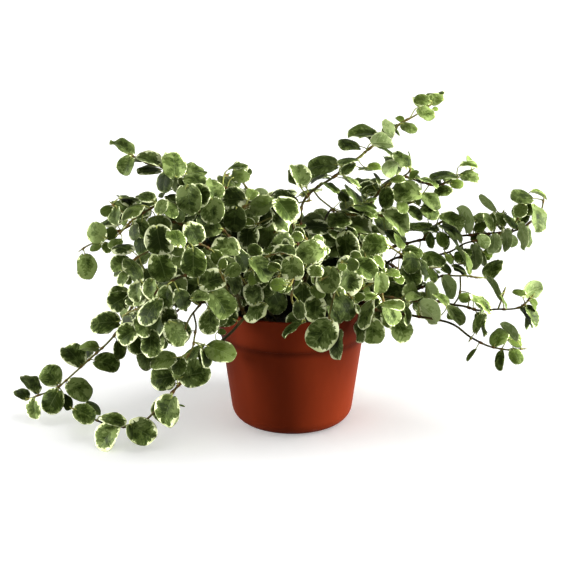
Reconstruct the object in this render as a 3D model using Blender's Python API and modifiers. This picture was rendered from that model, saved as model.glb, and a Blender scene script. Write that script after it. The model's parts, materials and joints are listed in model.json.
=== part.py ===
"""Creeping fig with cream-edged leaves, standing in its small plastic nursery pot.

Every size is in millimetres until a mesh is made. The pot's foot is centred on the
origin, +Z is up, and the side that faces the viewer is -Y.
"""
import math
import random

import bmesh
import bpy
import numpy as np
from mathutils import Matrix, Vector
from mathutils.bvhtree import BVHTree

MM = 0.001

# The pot
POT_HEIGHT = 96.0
POT_MOUTH_RADIUS = 60.0
POT_FOOT_RADIUS = 46.3
POT_CORNER = 13.0
POT_WALL = 1.6
POT_FLOOR = 2.4
BAND_HEIGHT = 24.5
BAND_STEP = 1.0
DRAIN_RADIUS = 3.2
DRAIN_RING = 24.0
DRAIN_COUNT = 6
POT_SIDES = 36

# The soil
SOIL_TOP = 85.0
SOIL_SIDES = 24
GAP = 0.3
HOLE_DEPTH = 12.0
HOLE_RADIUS = 2.3

# The stems
STEM_ROOT_RADIUS = 1.5
STEM_TIP_RADIUS = 1.05
STEM_STEP = 14.0
STEM_APART = 3.6

# The leaves
LEAF_THICK = 0.7
LEAF_LONG = 19.5
LEAF_SPACING = 11.5
PETIOLE = 5.0
LEAF_SPARE = 0.2
TRIES = 16
SEED = 41

# Rows across a leaf: how far along the blade, and half its width there
LEAF_ROWS = [(0.0, 0.08), (0.17, 0.78), (0.60, 1.02), (0.98, 0.36)]
YOUNG_ROWS = [(0.0, 0.10), (0.42, 1.0), (0.98, 0.30)]
INNER_ROWS = [(0.0, 0.10), (0.46, 1.02), (0.97, 0.50)]

# Where the photograph was taken from, its downward angle, and its focal length and centre
EYE = Vector((-4.8, -800.0, 327.0))
PITCH = math.radians(15.3)
FOCUS = 1069.0
CENTRE = 286.0
VIEW_AHEAD = Vector((0, math.cos(PITCH), -math.sin(PITCH)))
VIEW_UP = Vector((0, math.sin(PITCH), math.cos(PITCH)))

LEFT = (-0.25, -0.95, 0.55)
FRONT = (0.0, -1.0, 0.5)
RIGHT = (0.25, -0.75, 0.7)
HIGH = (-0.1, -0.55, 0.8)
BACK = (0.0, 0.6, 0.75)

# Stems seen in the photograph and the crown's: name, root, points, bare length, facing
STEMS = [
    ("runner_left", (-40, 0), [(-50, -5, 118), (-63, -10, 134), (-78, -12, 140), (-97, -10, 130),
     (-111, -5, 114), (-124, 0, 92), (-139, -4, 69), (-150, -6, 58), (-168, -10, 42),
     (-187, -13, 27), (-204, -15, 21), (-212, -15, 17)], 34, LEFT),
    ("runner_front", (-18, -38), [(-22, -43, 95), (-29, -51, 98.5), (-38, -55, 94), (-52, -58, 82),
     (-66, -60, 68), (-90, -66, 43), (-105, -66, 26), (-123, -60, 15), (-147, -48, 15),
     (-159, -40, 17), (-169, -34, 20)], 26, LEFT),
    ("shoot_top_left", (-13, 3), [(-26, 7, 118), (-48, 10, 142), (-71, 10, 162), (-87, 20, 186),
     (-98, 22, 195), (-110, 25, 199), (-120, 27, 201), (-126, 28, 206)], 40, LEFT),
    ("twig_left", (-28, 4), [(-40, 0, 112), (-55, -4, 132), (-70, -5, 146), (-89, -8, 160),
     (-107, -10, 161), (-126, -15, 157), (-144, -20, 149), (-162, -25, 140)], 38, LEFT),
    ("shoot_top_right", (6, 9), [(5, 5, 120), (6, 0, 150), (7, 5, 168), (12, 8, 178), (30, 12, 190),
     (44, 15, 200), (63, 18, 215), (80, 20, 229), (96, 22, 238), (107, 24, 246)], 42, HIGH),
    ("shoot_right_high", (20, 19), [(34, 20, 125), (50, 20, 155), (68, 20, 178), (80, 23, 187),
     (92, 25, 189), (107, 25, 182), (123, 28, 185), (135, 30, 190), (149, 32, 198)], 40, RIGHT),
    ("shoot_right_tip", (28, 9), [(42, 16, 112), (60, 20, 128), (79, 20, 134), (94, 20, 138),
     (104, 20, 140), (131, 15, 144), (163, 10, 148), (176, 8, 150), (183, 5, 158), (194, 2, 171), (191, 1, 176)],
     36, RIGHT),
    ("shoot_right_mid", (29, -4), [(45, 0, 107), (58, 0, 119), (72, 0, 125), (84, 0, 131),
     (102, 0, 131), (118, 0, 134), (129, 0, 140), (144, 0, 144), (159, 0, 145)], 36, RIGHT),
    ("shoot_right_short", (42, 4), [(52, -4, 101), (66, -8, 104), (83, -10, 104), (100, -15, 111),
     (109, -18, 119), (120, -20, 121), (131, -20, 121), (141, -20, 120)], 28, RIGHT),
    ("shoot_right_low", (41, -8), [(48, -18, 101), (60, -26, 107), (84, -30, 105), (108, -35, 105),
     (125, -38, 103), (136, -40, 100), (153, -40, 101), (164, -40, 101), (170, -40, 103),
     (177, -40, 111)], 28, RIGHT),
    ("shoot_right_drop", (36, -20), [(42, -30, 97), (52, -38, 102), (68, -44, 100), (87, -47, 98),
     (110, -50, 95), (124, -52, 89), (135, -54, 80), (143, -55, 77), (153, -56, 75),
     (172, -56, 75)], 28, RIGHT),
    ("crown_a", (-11, -10), [(-25, -20, 118), (-39, -30, 144), (-63, -40, 172), (-88, -45, 181),
     (-109, -48, 174), (-125, -50, 160)], 38, LEFT),
    ("crown_b", (-23, -13), [(-32, -34, 112), (-42, -50, 134), (-66, -60, 155), (-90, -65, 156),
     (-111, -68, 146), (-124, -70, 128)], 36, LEFT),
    ("crown_c", (-35, -19), [(-38, -42, 102), (-43, -60, 122), (-62, -72, 136), (-82, -78, 134),
     (-100, -80, 120), (-111, -80, 98), (-117, -80, 83)], 30, LEFT),
    ("crown_d", (-13, -26), [(-22, -46, 103), (-34, -60, 114), (-51, -75, 122), (-66, -82, 117),
     (-76, -85, 99), (-87, -85, 85)], 32, FRONT),
    ("crown_e", (-14, 13), [(-20, 4, 118), (-26, -8, 147), (-39, -12, 178), (-58, -12, 189),
     (-76, -10, 193), (-93, -8, 202)], 40, LEFT),
    ("crown_f", (-3, 17), [(-3, 8, 116), (-6, 0, 137), (-21, 0, 168), (-34, 0, 184),
     (-43, 0, 197)], 38, HIGH),
    ("crown_g", (2, -13), [(5, -14, 112), (6, -15, 133), (-2, -20, 165), (-17, -22, 180),
     (-31, -25, 177), (-45, -28, 170)], 36, FRONT),
    ("crown_h", (0, -28), [(6, -38, 108), (9, -46, 125), (-2, -60, 147), (-17, -68, 149),
     (-30, -72, 140)], 32, FRONT),
    ("crown_i", (6, -41), [(13, -47, 108), (17, -52, 123), (12, -62, 143), (5, -72, 140),
     (-1, -79, 127), (1, -82, 112), (8, -82, 106)], 26, FRONT),
    ("crown_j", (19, -36), [(28, -44, 107), (32, -48, 121), (31, -62, 139), (30, -76, 126),
     (26, -81, 109), (26, -83, 98), (34, -82, 94)], 26, FRONT),
    ("crown_k", (29, -28), [(40, -42, 108), (47, -52, 124), (56, -66, 134), (62, -75, 126),
     (66, -78, 112), (64, -80, 98)], 28, FRONT),
    ("crown_l", (12, -2), [(18, 3, 118), (23, 5, 138), (33, 8, 155), (45, 10, 162), (64, 12, 162),
     (84, 14, 154)], 36, HIGH),
    ("crown_m", (17, -15), [(28, -12, 112), (40, -12, 131), (56, -14, 146), (74, -14, 142),
     (92, -14, 128)], 34, RIGHT),
]

# Back stems: name, compass angle from +X, root radius, crest radius and height, tip radius and height
BACK_STEMS = [
    ("back_a", 22, 37, 66, 124, 112, 84),
    ("back_b", 48, 41, 68, 120, 98, 62),
    ("back_c", 74, 41, 70, 118, 90, 46),
    ("back_d", 98, 41, 66, 126, 98, 70),
    ("back_e", 122, 41, 70, 120, 100, 56),
    ("back_f", 146, 41, 66, 128, 104, 74),
    ("back_g", 166, 38, 70, 132, 116, 96),
    ("back_h", 60, 27, 58, 158, 100, 122),
    ("back_i", 92, 28, 54, 166, 96, 132),
    ("back_j", 128, 27, 58, 170, 98, 140),
    ("back_k", 78, 14, 40, 166, 78, 158),
    ("back_l", 116, 18, 46, 170, 86, 160),
]

# Side twigs, fused to the stem they leave: stem, where they leave it, points
TWIGS = [
    ("shoot_top_right", (22, 9, 184), [(26, 6, 179), (32, 6, 173), (44, 6, 167), (54, 6, 165)], HIGH),
    ("shoot_right_high", (88, 23, 188), [(94, 20, 194), (92, 19, 201)], RIGHT),
    ("shoot_right_high", (70, 20, 179), [(78, 14, 172), (88, 8, 168)], RIGHT),
    ("shoot_right_tip", (104, 20, 140), [(112, 20, 150), (122, 20, 157)], RIGHT),
    ("shoot_right_tip", (175, 8, 150), [(178, 5, 160), (182, 3, 168), (184, 3, 176)], RIGHT),
    ("shoot_right_tip", (150, 12, 146), [(153, 10, 156), (156, 9, 163)], RIGHT),
    ("shoot_right_mid", (118, 0, 134), [(126, -6, 126), (136, -10, 124)], RIGHT),
    ("shoot_right_short", (124, -20, 121), [(125, -22, 112), (121, -24, 103), (117, -26, 97)], RIGHT),
    ("shoot_right_low", (150, -40, 101), [(153, -41, 112), (156, -42, 122)], RIGHT),
    ("shoot_right_drop", (136, -54, 80), [(132, -57, 75), (127, -58, 69)], RIGHT),
    ("runner_left", (-118, -2, 102), [(-106, -8, 90), (-98, -12, 78), (-96, -14, 66)], LEFT),
    ("crown_d", (-66, -82, 117), [(-64, -85, 104), (-67, -85, 92), (-71, -84, 84)], LEFT),
    ("crown_a", (-120, -49, 165), [(-130, -46, 168), (-138, -42, 174)], LEFT),
    ("crown_k", (52, -60, 130), [(50, -50, 140), (51, -42, 149)], FRONT),
]

# Leaves read by hand off the photograph: across and down in its own units, the direction from
# base to tip in degrees, apparent length and width, and 0 for a leaf that hides its neighbours,
# 1 or 2 for one that they hide, -1 for one seen from beneath
SEEN_LEFT = [
    # shoot at the top left, and the twig below it
    (123, 145, 130, 25, 12, 0), (126, 166, 238, 19, 16, 0), (148, 159, 150, 26, 14, 0),
    (149, 169, 175, 22, 10, 1), (175, 164, 92, 27, 22, 0), (163, 182, 250, 21, 16, 1),
    (197, 179, 110, 25, 21, 0), (188, 200, 270, 28, 24, 0), (126, 199, 160, 22, 16, 1),
    (131, 210, 200, 24, 14, 0), (145, 196, 150, 18, 14, 1), (118, 214, 180, 20, 14, 1),
    (107, 211, 200, 13, 10, 0), (173, 199, 60, 16, 12, 1),
    (170, 209, 330, 20, 13, 1), (157, 223, 150, 26, 20, 1), (95, 233, 150, 21, 20, 0),
    (111, 234, 90, 13, 12, 1), (88, 267, 285, 24, 19, 0), (107, 248, 300, 11, 9, 0),
    # the crown's left and middle
    (122, 246, 150, 21, 15, 0), (159, 242, 280, 30, 28, 0), (140, 244, 260, 20, 14, 1),
    (163, 268, 290, 29, 26, 0), (136, 268, 290, 27, 15, 0), (120, 264, 200, 19, 15, 1),
    (123, 278, 240, 15, 11, 1), (149, 280, 300, 20, 18, 1), (193, 264, 270, 27, 25, 0),
    (177, 250, 0, 14, 14, 2), (195, 233, 310, 23, 18, 0), (226, 247, 200, 26, 20, 0),
    (212, 211, 270, 24, 23, 0), (234, 220, 260, 24, 21, 0), (233, 199, 180, 24, 20, 0),
    (214, 189, 90, 22, 18, 1), (229, 181, 100, 21, 13, 0), (241, 175, 20, 18, 14, 0),
    (238, 167, 195, 18, 5, 0), (252, 194, 60, 14, 13, 0), (262, 206, 200, 24, 17, 0),
    (283, 192, 10, 24, 9, 0), (286, 210, 310, 26, 22, 1), (269, 235, 270, 25, 24, 0),
    (247, 237, 260, 24, 21, 1), (210, 229, 180, 20, 16, 1), (180, 228, 90, 22, 18, 1),
    (202, 244, 340, 20, 14, 1), (217, 258, 300, 14, 12, 1), (243, 260, 305, 24, 13, 0),
    (262, 268, 320, 28, 14, 0), (234, 284, 300, 22, 14, 1), (190, 288, 200, 26, 18, 1),
    (212, 280, 30, 26, 20, 1), (165, 298, 260, 22, 16, 1), (222, 304, 310, 30, 24, 0),
    (254, 294, 100, 22, 18, 0), (254, 310, 200, 25, 13, 0), (278, 300, 300, 28, 22, 0),
    (284, 251, 10, 23, 7, 0), (292, 270, 270, 24, 22, 0), (183, 301, 320, 18, 12, 2),
    # hanging over the pot's left side
    (119, 300, 200, 22, 17, 0), (136, 292, 270, 18, 14, 1), (149, 310, 195, 28, 18, 0),
    (168, 318, 280, 22, 18, 1), (178, 332, 350, 27, 22, 0), (128, 334, 170, 24, 20, 0),
    (144, 326, 300, 20, 15, 1), (156, 342, 270, 20, 18, 2), (136, 344, 300, 17, 13, 1),
    (120, 351, 280, 18, 13, 0), (145, 360, 300, 18, 13, 1), (162, 358, 0, 26, 16, 0),
    (162, 379, 260, 24, 23, 0), (177, 372, 90, 16, 10, 1), (195, 374, 340, 28, 26, 0),
    (193, 352, 70, 22, 16, 0), (206, 358, 290, 17, 11, 1), (221, 350, 310, 28, 22, 0),
    (209, 322, 270, 22, 20, 0), (222, 332, 330, 8, 6, 1),
    # the two runners
    (104, 322, 180, 28, 20, 0), (89, 347, 170, 18, 11, 1), (73, 355, 130, 26, 22, 0),
    (107, 363, 350, 24, 18, 0), (50, 375, 130, 23, 21, 0), (30, 383, 125, 23, 14, 0),
    (21, 393, 130, 16, 12, 0), (33, 410, 265, 20, 16, 0), (52, 402, 240, 24, 22, 0),
    (68, 402, 300, 15, 10, 1), (80, 389, 330, 26, 22, 0), (85, 414, 300, 22, 18, 0),
    (95, 407, 340, 20, 9, 1), (114, 418, 355, 24, 12, 0), (106, 436, 260, 28, 22, 0),
    (142, 432, 330, 28, 26, 0), (165, 412, 280, 31, 26, 0), (181, 405, 0, 8, 2, 0),
]

SEEN_RIGHT = [
    # shoot at the top right
    (436, 97, 60, 17, 15, 0), (420, 102, 120, 16, 12, 0), (426, 113, 290, 17, 14, 0),
    (436, 109, 20, 6, 5, 1), (409, 127, 300, 15, 11, 0), (400, 119, 130, 9, 7, 0),
    (390, 128, 120, 18, 10, -1), (398, 132, 315, 9, 3, 0), (383, 142, 330, 21, 14, -1),
    (362, 132, 172, 27, 15, 0), (350, 144, 165, 20, 10, 0), (348, 158, 175, 22, 5, 0),
    (347, 167, 100, 17, 12, 0), (322, 164, 175, 29, 20, 0), (300, 174, 110, 22, 17, 0),
    (317, 177, 175, 20, 6, 1), (310, 189, 35, 22, 8, 0), (370, 167, 5, 21, 6, 0),
    (389, 169, 290, 18, 13, -1), (403, 159, 160, 21, 15, 0), (344, 194, 170, 15, 12, 0),
    (356, 192, 290, 20, 8, 0), (352, 180, 340, 17, 5, 0), (366, 186, 20, 16, 7, 0),
    (378, 178, 30, 15, 9, 0), (364, 194, 80, 12, 7, 1),
    # shoots going right, upper
    (384, 198, 260, 20, 15, 0), (407, 192, 170, 27, 21, 0), (428, 181, 345, 20, 6, 0),
    (443, 174, 175, 25, 11, 0), (443, 190, 190, 17, 11, 0), (457, 184, 0, 13, 10, 0),
    (469, 165, 5, 17, 7, 0), (470, 176, 355, 18, 13, 0), (431, 200, 320, 22, 15, 1),
    (416, 212, 330, 18, 12, 1), (431, 211, 340, 19, 14, 0), (398, 221, 325, 30, 20, 0),
    (427, 227, 340, 21, 13, 0), (368, 213, 350, 16, 6, 1), (368, 205, 0, 15, 5, 1),
    (359, 225, 350, 28, 17, 0), (339, 219, 175, 22, 14, 1), (315, 225, 165, 28, 17, 0),
    (336, 234, 340, 14, 8, 1), (452, 220, 300, 22, 15, 1), (467, 219, 275, 27, 11, -1),
    (481, 216, 40, 17, 11, 1), (490, 202, 125, 21, 7, -1), (490, 223, 275, 18, 9, 0),
    (502, 220, 90, 19, 13, 1), (512, 220, 300, 20, 8, 0), (522, 197, 170, 21, 13, 0),
    (540, 194, 335, 20, 6, 0), (521, 211, 240, 14, 13, 0), (537, 218, 280, 25, 17, 0),
    (526, 237, 290, 26, 11, -1), (508, 242, 280, 21, 12, -1), (495, 246, 270, 20, 13, -1),
    (484, 242, 310, 15, 11, -1), (477, 258, 280, 25, 13, -1), (466, 256, 290, 19, 10, 1),
    (493, 267, 75, 22, 18, 0), (488, 254, 60, 10, 7, 1), (460, 269, 340, 16, 6, 0),
    (469, 269, 270, 10, 6, 0), (429, 241, 270, 14, 8, 1), (445, 242, 280, 15, 8, 1),
    # the crown's right
    (375, 243, 170, 25, 20, 0), (345, 248, 270, 29, 21, 0), (310, 251, 190, 25, 22, 0),
    (328, 240, 330, 15, 11, 1), (392, 236, 320, 16, 10, 1), (413, 251, 355, 19, 9, 1),
    (413, 263, 290, 21, 16, 0), (434, 256, 350, 22, 14, 0), (450, 259, 315, 11, 7, 1),
    (447, 268, 320, 14, 8, 0), (411, 275, 300, 22, 19, 0), (393, 274, 0, 14, 8, 1),
    (380, 261, 315, 14, 8, 1), (365, 269, 330, 23, 19, 0), (381, 284, 280, 20, 15, 1),
    (394, 291, 185, 26, 17, 0), (370, 296, 355, 22, 8, 0), (350, 282, 280, 29, 21, 0),
    (328, 280, 260, 24, 20, 0), (329, 267, 10, 21, 12, 1), (301, 295, 260, 22, 17, 0),
    (318, 292, 330, 15, 12, 1), (315, 310, 260, 24, 22, 0), (298, 311, 270, 18, 11, 1),
    (337, 310, 300, 24, 14, 1), (347, 306, 310, 27, 19, 0), (365, 314, 245, 28, 12, 0),
    (357, 328, 260, 26, 10, 0), (392, 315, 300, 21, 18, 1), (407, 314, 295, 24, 9, 0),
    (402, 330, 300, 24, 21, 0), (372, 333, 270, 25, 22, 0), (392, 304, 0, 20, 7, 1),
    (417, 297, 25, 19, 9, 0), (431, 294, 290, 19, 12, -1), (451, 287, 305, 23, 13, -1),
    (431, 311, 325, 25, 13, -1), (454, 313, 310, 23, 9, 0), (465, 298, 180, 12, 9, 0),
    (482, 302, 325, 24, 10, 0), (477, 323, 255, 26, 11, -1), (498, 286, 285, 26, 7, -1),
    (532, 290, 320, 20, 15, -1), (520, 292, 150, 13, 8, 0), (534, 303, 315, 9, 7, 0),
    (529, 316, 310, 22, 12, 0), (528, 324, 280, 13, 7, 1), (504, 302, 300, 13, 4, 0),
    (499, 336, 65, 21, 15, 0), (511, 331, 120, 21, 9, -1), (516, 342, 300, 12, 8, 0),
    (516, 356, 260, 15, 13, 0), (498, 360, 250, 18, 9, 0), (470, 354, 218, 14, 4, 0),
    # hanging over the pot's front
    (322, 335, 190, 32, 26, 0), (334, 347, 245, 26, 12, 1), (292, 327, 205, 25, 9, 0),
]

COLOURS = {
    "pot": ((0.25, 0.045, 0.02), 0.38),
    "soil": ((0.012, 0.008, 0.006), 0.95),
    "leaf": ((0.09, 0.14, 0.045), 0.5),
}


def smooth_line(points, step, lead=None):
    """Places about `step` apart along a smooth line through the points."""
    pts = [Vector(p) for p in points]
    ends = [lead or pts[0] * 2 - pts[1]] + pts + [pts[-1] * 2 - pts[-2]]
    fine = []
    for a, b, c, d in zip(ends, ends[1:], ends[2:], ends[3:]):
        for k in range(16):
            t = k / 16
            fine.append(0.5 * (2 * b + (c - a) * t + (2 * a - 5 * b + 4 * c - d) * t * t
                               + (3 * b - a - 3 * c + d) * t ** 3))
    fine.append(pts[-1])
    reach = [0.0]
    for a, b in zip(fine, fine[1:]):
        reach.append(reach[-1] + (b - a).length)
    count = max(2, round(reach[-1] / step))
    out, k = [], 0
    for i in range(count + 1):
        want = reach[-1] * i / count
        while k < len(reach) - 2 and reach[k + 1] < want:
            k += 1
        out.append(fine[k].lerp(fine[k + 1], (want - reach[k]) / max(1e-9, reach[k + 1] - reach[k])))
    return out


def view(p):
    """Across, down and depth of a place as the photograph shows it."""
    q = p - EYE
    depth = q.dot(VIEW_AHEAD)
    return CENTRE + FOCUS * q.x / depth, CENTRE - FOCUS * q.dot(VIEW_UP) / depth, depth


def unview(across, down, depth):
    """The place that the photograph shows there, at that depth."""
    return EYE + (Vector((across - CENTRE, 0, 0)) + VIEW_UP * (CENTRE - down)) * depth / FOCUS + VIEW_AHEAD * depth


def body_radius(z):
    return POT_FOOT_RADIUS + (POT_MOUTH_RADIUS - BAND_STEP - POT_FOOT_RADIUS) * z / POT_HEIGHT


def pot_push(p, spare):
    """How far to move a point so that it clears the pot and the table."""
    push = Vector((0, 0, max(0.0, spare + 0.2 - p.z)))
    r = math.hypot(p.x, p.y)
    outer, inner = body_radius(p.z) + BAND_STEP + spare, body_radius(p.z) - POT_WALL - spare
    if p.z < POT_HEIGHT + spare and inner < r < outer:
        if p.z > POT_HEIGHT - 10:
            push.z += min(2.0, POT_HEIGHT + spare - p.z)
        else:
            push += Vector((p.x, p.y, 0)) / r * (outer - r)
    return push


def bend_clear(line, others, first):
    """Bend a line away from the stems placed before it, its first points staying put."""
    for _ in range(90):
        shift = [Vector() for _ in line]
        moved = False
        for k in range(first, len(line) - 1):
            for t in (0.0, 0.25, 0.5, 0.75, 1.0):
                p = line[k].lerp(line[k + 1], t)
                push = pot_push(p, 2.2)
                if len(others):
                    gaps = others - np.array(p)
                    near = int((gaps ** 2).sum(1).argmin())
                    away = p - Vector(others[near])
                    short = STEM_APART - away.length
                    if short > 0:
                        push += away.normalized() * short
                if push.length > 1e-3:
                    moved = True
                    for i, share in ((k, 1 - t), (k + 1, t)):
                        if i >= first and share and push.length * share > shift[i].length:
                            shift[i] = push * share * 0.6
        if not moved:
            break
        for i, s in enumerate(shift):
            line[i] = line[i] + s
    return line


def samples(line):
    return [tuple(a.lerp(b, t)) for a, b in zip(line, line[1:]) for t in (0, 0.2, 0.4, 0.6, 0.8)]


class Leaf:
    """One leaf: its petiole's start, the blade's base, direction, upper side and sizes."""

    def __init__(self, start, base, along, up, long, wide, bend):
        self.start, self.base, self.along, self.up = start, base, along, up
        self.long, self.wide, self.bend = long, wide, bend
        self.side = up.cross(along)

    def spine(self, u):
        """Middle of the blade and its upper side's direction, u of the way along."""
        turn = self.bend * u
        reach = self.long / self.bend
        return (self.base + self.along * (reach * math.sin(turn)) - self.up * (reach * (1 - math.cos(turn))),
                self.up * math.cos(turn) + self.along * math.sin(turn))

    def rows(self, table, spare=0.0):
        out = []
        for u, half in table:
            middle, up = self.spine(u * (1 + spare / self.long))
            out.append((middle, up, half * self.wide / 2 + spare))
        return out


def strip_tree(rows, side, thick):
    """Search tree of a closed strip, from rows of (middle, up, half width)."""
    verts, faces = [], []
    for middle, up, half in rows:
        for sign, lift in ((-1, 1), (1, 1), (1, -1), (-1, -1)):
            verts.append(middle + side * (sign * half) + up * (lift * thick / 2))
    for k in range(len(rows) - 1):
        for j in range(4):
            a, b = 4 * k + j, 4 * k + (j + 1) % 4
            faces.append((a, b, b + 4, a + 4))
    faces.append((0, 1, 2, 3))
    faces.append(tuple(4 * (len(rows) - 1) + j for j in (3, 2, 1, 0)))
    return BVHTree.FromPolygons(verts, faces), verts


def tube_tree(line, radius):
    verts, faces = [], []
    for i, p in enumerate(line):
        t = (line[min(i + 1, len(line) - 1)] - line[max(i - 1, 0)]).normalized()
        a = t.orthogonal().normalized()
        b = t.cross(a)
        for k in range(6):
            w = math.pi * k / 3
            verts.append(p + (a * math.cos(w) + b * math.sin(w)) * radius)
    for i in range(len(line) - 1):
        for k in range(6):
            a, b = 6 * i + k, 6 * i + (k + 1) % 6
            faces.append((a, b, b + 6, a + 6))
    return BVHTree.FromPolygons(verts, faces), verts


def pot_tree():
    """Search tree of the pot and the soil's top, a little larger than they are."""
    spare = 0.5
    ring = [(body_radius(0) - 12, -1), (body_radius(12) + spare, 12), (body_radius(70) + spare, 70),
            (body_radius(71) + BAND_STEP + spare, 71), (POT_MOUTH_RADIUS + spare, POT_HEIGHT + spare),
            (POT_MOUTH_RADIUS - BAND_STEP - POT_WALL - spare, POT_HEIGHT + spare),
            (body_radius(SOIL_TOP) - POT_WALL - spare, SOIL_TOP + 1.5), (0.5, SOIL_TOP + 3.5)]
    verts, faces = [], []
    for r, z in ring:
        for k in range(48):
            w = math.tau * k / 48
            verts.append((r * math.cos(w), r * math.sin(w), z))
    for i in range(len(ring) - 1):
        for k in range(48):
            a, b = 48 * i + k, 48 * i + (k + 1) % 48
            faces.append((a, b, b + 48, a + 48))
    return BVHTree.FromPolygons(verts, faces)


class Plant:
    """The growth rule: where every stem runs and where every leaf stands."""

    def __init__(self):
        self.pot = pot_tree()
        self.lines = []
        self.leaves = []
        self.trees = []
        self.seen = []

    def stem(self, name, root, points, bare, facing):
        foot = Vector((root[0], root[1], SOIL_TOP + 3))
        line = [Vector((root[0], root[1], SOIL_TOP - HOLE_DEPTH + 0.4))]
        step = STEM_STEP * (1.2 if name[:5] in ("crown", "back_") else 1)
        line += smooth_line([foot] + [Vector(p) for p in points], step, foot - Vector((0, 0, 14)))
        others = np.array([p for l in self.lines for p in samples(l["line"])])
        line = bend_clear(line, others, 2)
        self.add(name, line, bare, facing, None)

    def twig(self, name, start, points, facing):
        stem = next(l for l in self.lines if l["name"] == name and l["parent"] is None)["line"]
        k = min(range(2, len(stem) - 1), key=lambda i: (stem[i] - Vector(start)).length)
        off = stem[k] - Vector(start)
        line = smooth_line([stem[k]] + [Vector(p) + off for p in points], STEM_STEP * 0.8)
        others = [p for l in self.lines for p in samples(l["line"])
                  if (Vector(p) - stem[k]).length > 9]
        line = bend_clear(line, np.array(others), 2)
        self.add(name, line, 7, facing, k)

    def add(self, name, line, bare, facing, parent):
        tree, verts = tube_tree(line, STEM_ROOT_RADIUS)
        middle = sum(line, Vector()) / len(line)
        reach = max((p - middle).length for p in line) + 3
        entry = {"name": name, "line": line, "bare": bare, "facing": Vector(facing), "parent": parent, "used": [],
                 "skip": 2 if name[:5] in ("crown", "back_") else 4}
        self.trees.append((middle, reach, tree, entry))
        self.lines.append(entry)

    def spots(self):
        """Places along every stem where a petiole can start, as the photograph shows them."""
        out = []
        for entry in self.lines:
            line, reach = entry["line"], 0.0
            for k, (a, b) in enumerate(zip(line, line[1:])):
                long = (b - a).length
                for t in (0.1, 0.3, 0.5, 0.7, 0.9):
                    p = a.lerp(b, t)
                    if p.z > SOIL_TOP + 14 or math.hypot(p.x, p.y) > 62:
                        out.append((entry, p, reach + long * t) + view(p))
                reach += long
        return out

    def seen_leaf(self, row, spots, rng):
        """Place a leaf where the photograph shows it, turned in its own outline if it must be."""
        turns = (0, 35, -35, 70, -70, 180, 110, -110, 145, -145) if row[4] > 0.63 * row[3] else (0, 12, -12, 180)
        for reach in (15, 21):
            for turn in turns:
                if self.seen_try((*row[:2], row[2] + turn, *row[3:]), spots, rng, reach):
                    return True
        return False

    def seen_try(self, row, spots, rng, limit):
        """Place a leaf where the photograph shows it, on the stem that suits it best."""
        across, down, angle, long, wide, layer = row
        w = math.radians(angle)
        lean = (math.cos(w), math.sin(w))
        base = (across - lean[0] * long / 2, down + lean[1] * long / 2)
        found = []
        for spot in spots:
            du, dv = spot[3] - base[0], base[1] - spot[4]
            back = -(du * lean[0] + dv * lean[1])
            aside = abs(dv * lean[0] - du * lean[1])
            if math.hypot(du, dv) < limit and back > 0.5:
                found.append((math.hypot(back - 6, aside) + (spot[5] - 750) * 0.07, spot))
        found.sort(key=lambda f: f[0])
        size = (long + wide) / 4
        for shrink in (1.0, 0.92, 0.84):
            for score, (entry, p, at, pu, pv, depth) in found[:30]:
                for nearer in (0, 3, -3, 6, 10):
                    scale = (depth - nearer) / FOCUS
                    tilt = rng.uniform(0.05, 0.5)
                    true_long = max(long * scale, min(21.0, long * scale / math.cos(tilt))) * shrink
                    tilt = math.acos(min(1.0, long * scale * shrink / true_long))
                    true_wide = max(true_long * (0.93 if true_long > 12 else 0.84), wide * scale * shrink)
                    roll = min(1.4, math.acos(min(1.0, wide * scale * shrink / true_wide)))
                    flat = Vector((lean[0], 0, 0)) + VIEW_UP * lean[1]
                    tilt *= (-1 if lean[1] < 0.3 else 1) * (1 if shrink > 0.9 else rng.choice((-1, 1)))
                    along = flat * math.cos(tilt) + VIEW_AHEAD * math.sin(tilt)
                    face = VIEW_AHEAD * -math.cos(tilt) + flat * math.sin(tilt)
                    if layer < 0:
                        face = -face
                    cross = face.cross(along)
                    up = max((face * math.cos(roll) + cross * math.sin(roll) * s for s in (-1, 1)),
                             key=lambda n: n.z)
                    start = unview(*base, depth - nearer)
                    start += flat * (long * scale * (1 - shrink) / 2)
                    leaf = Leaf(p, start, along, up, true_long, true_wide, rng.uniform(0.3, 0.6))
                    stalk = start - p
                    inline = stalk - leaf.side * stalk.dot(leaf.side)
                    if not 1.5 < stalk.length < 14 or abs(stalk.dot(leaf.side)) > 0.78 * stalk.length:
                        continue
                    if inline.dot(along) < 0.25 * inline.length:
                        continue
                    middle = view(leaf.spine(0.5)[0])
                    if any(other[3] < max(0, layer) and middle[2] < other[4] + 2
                           and math.hypot(other[0] - across, other[1] - down) < 0.8 * (size + other[2])
                           for other in self.seen):
                        continue
                    clear = self.clear(leaf, LEAF_ROWS, entry)
                    if clear:
                        table = LEAF_ROWS if true_long > 12.5 else YOUNG_ROWS
                        self.trees.append((clear[1], true_long * 0.62 + 8, clear[0], None))
                        self.leaves.append((entry, leaf, table, min(1.0, true_long / 18), layer < 1 or wide > 17))
                        self.seen.append((across, down, size, max(0, layer), middle[2]))
                        entry["used"].append(at)
                        return True
        return False

    def hidden(self, leaf):
        """Whether the leaves that the photograph shows hide this one from the front."""
        middle, up = leaf.spine(0.5)
        for p in (middle, leaf.spine(1.0)[0], middle + leaf.side * leaf.wide / 2,
                  middle - leaf.side * leaf.wide / 2):
            u, v, depth = view(p)
            behind_pot = p.y > 0 and 318 < v < 425 and abs(u - 292) < 72 - (v - 318) * 0.12
            loose = 5 if p.y > 0 and 120 < u < 400 else 1
            if not behind_pot and not any(
                    depth > far + 1 and math.hypot(a - u, d - v) < size * 0.95 + loose
                    for a, d, size, layer, far in self.seen):
                return False
        return True

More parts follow.
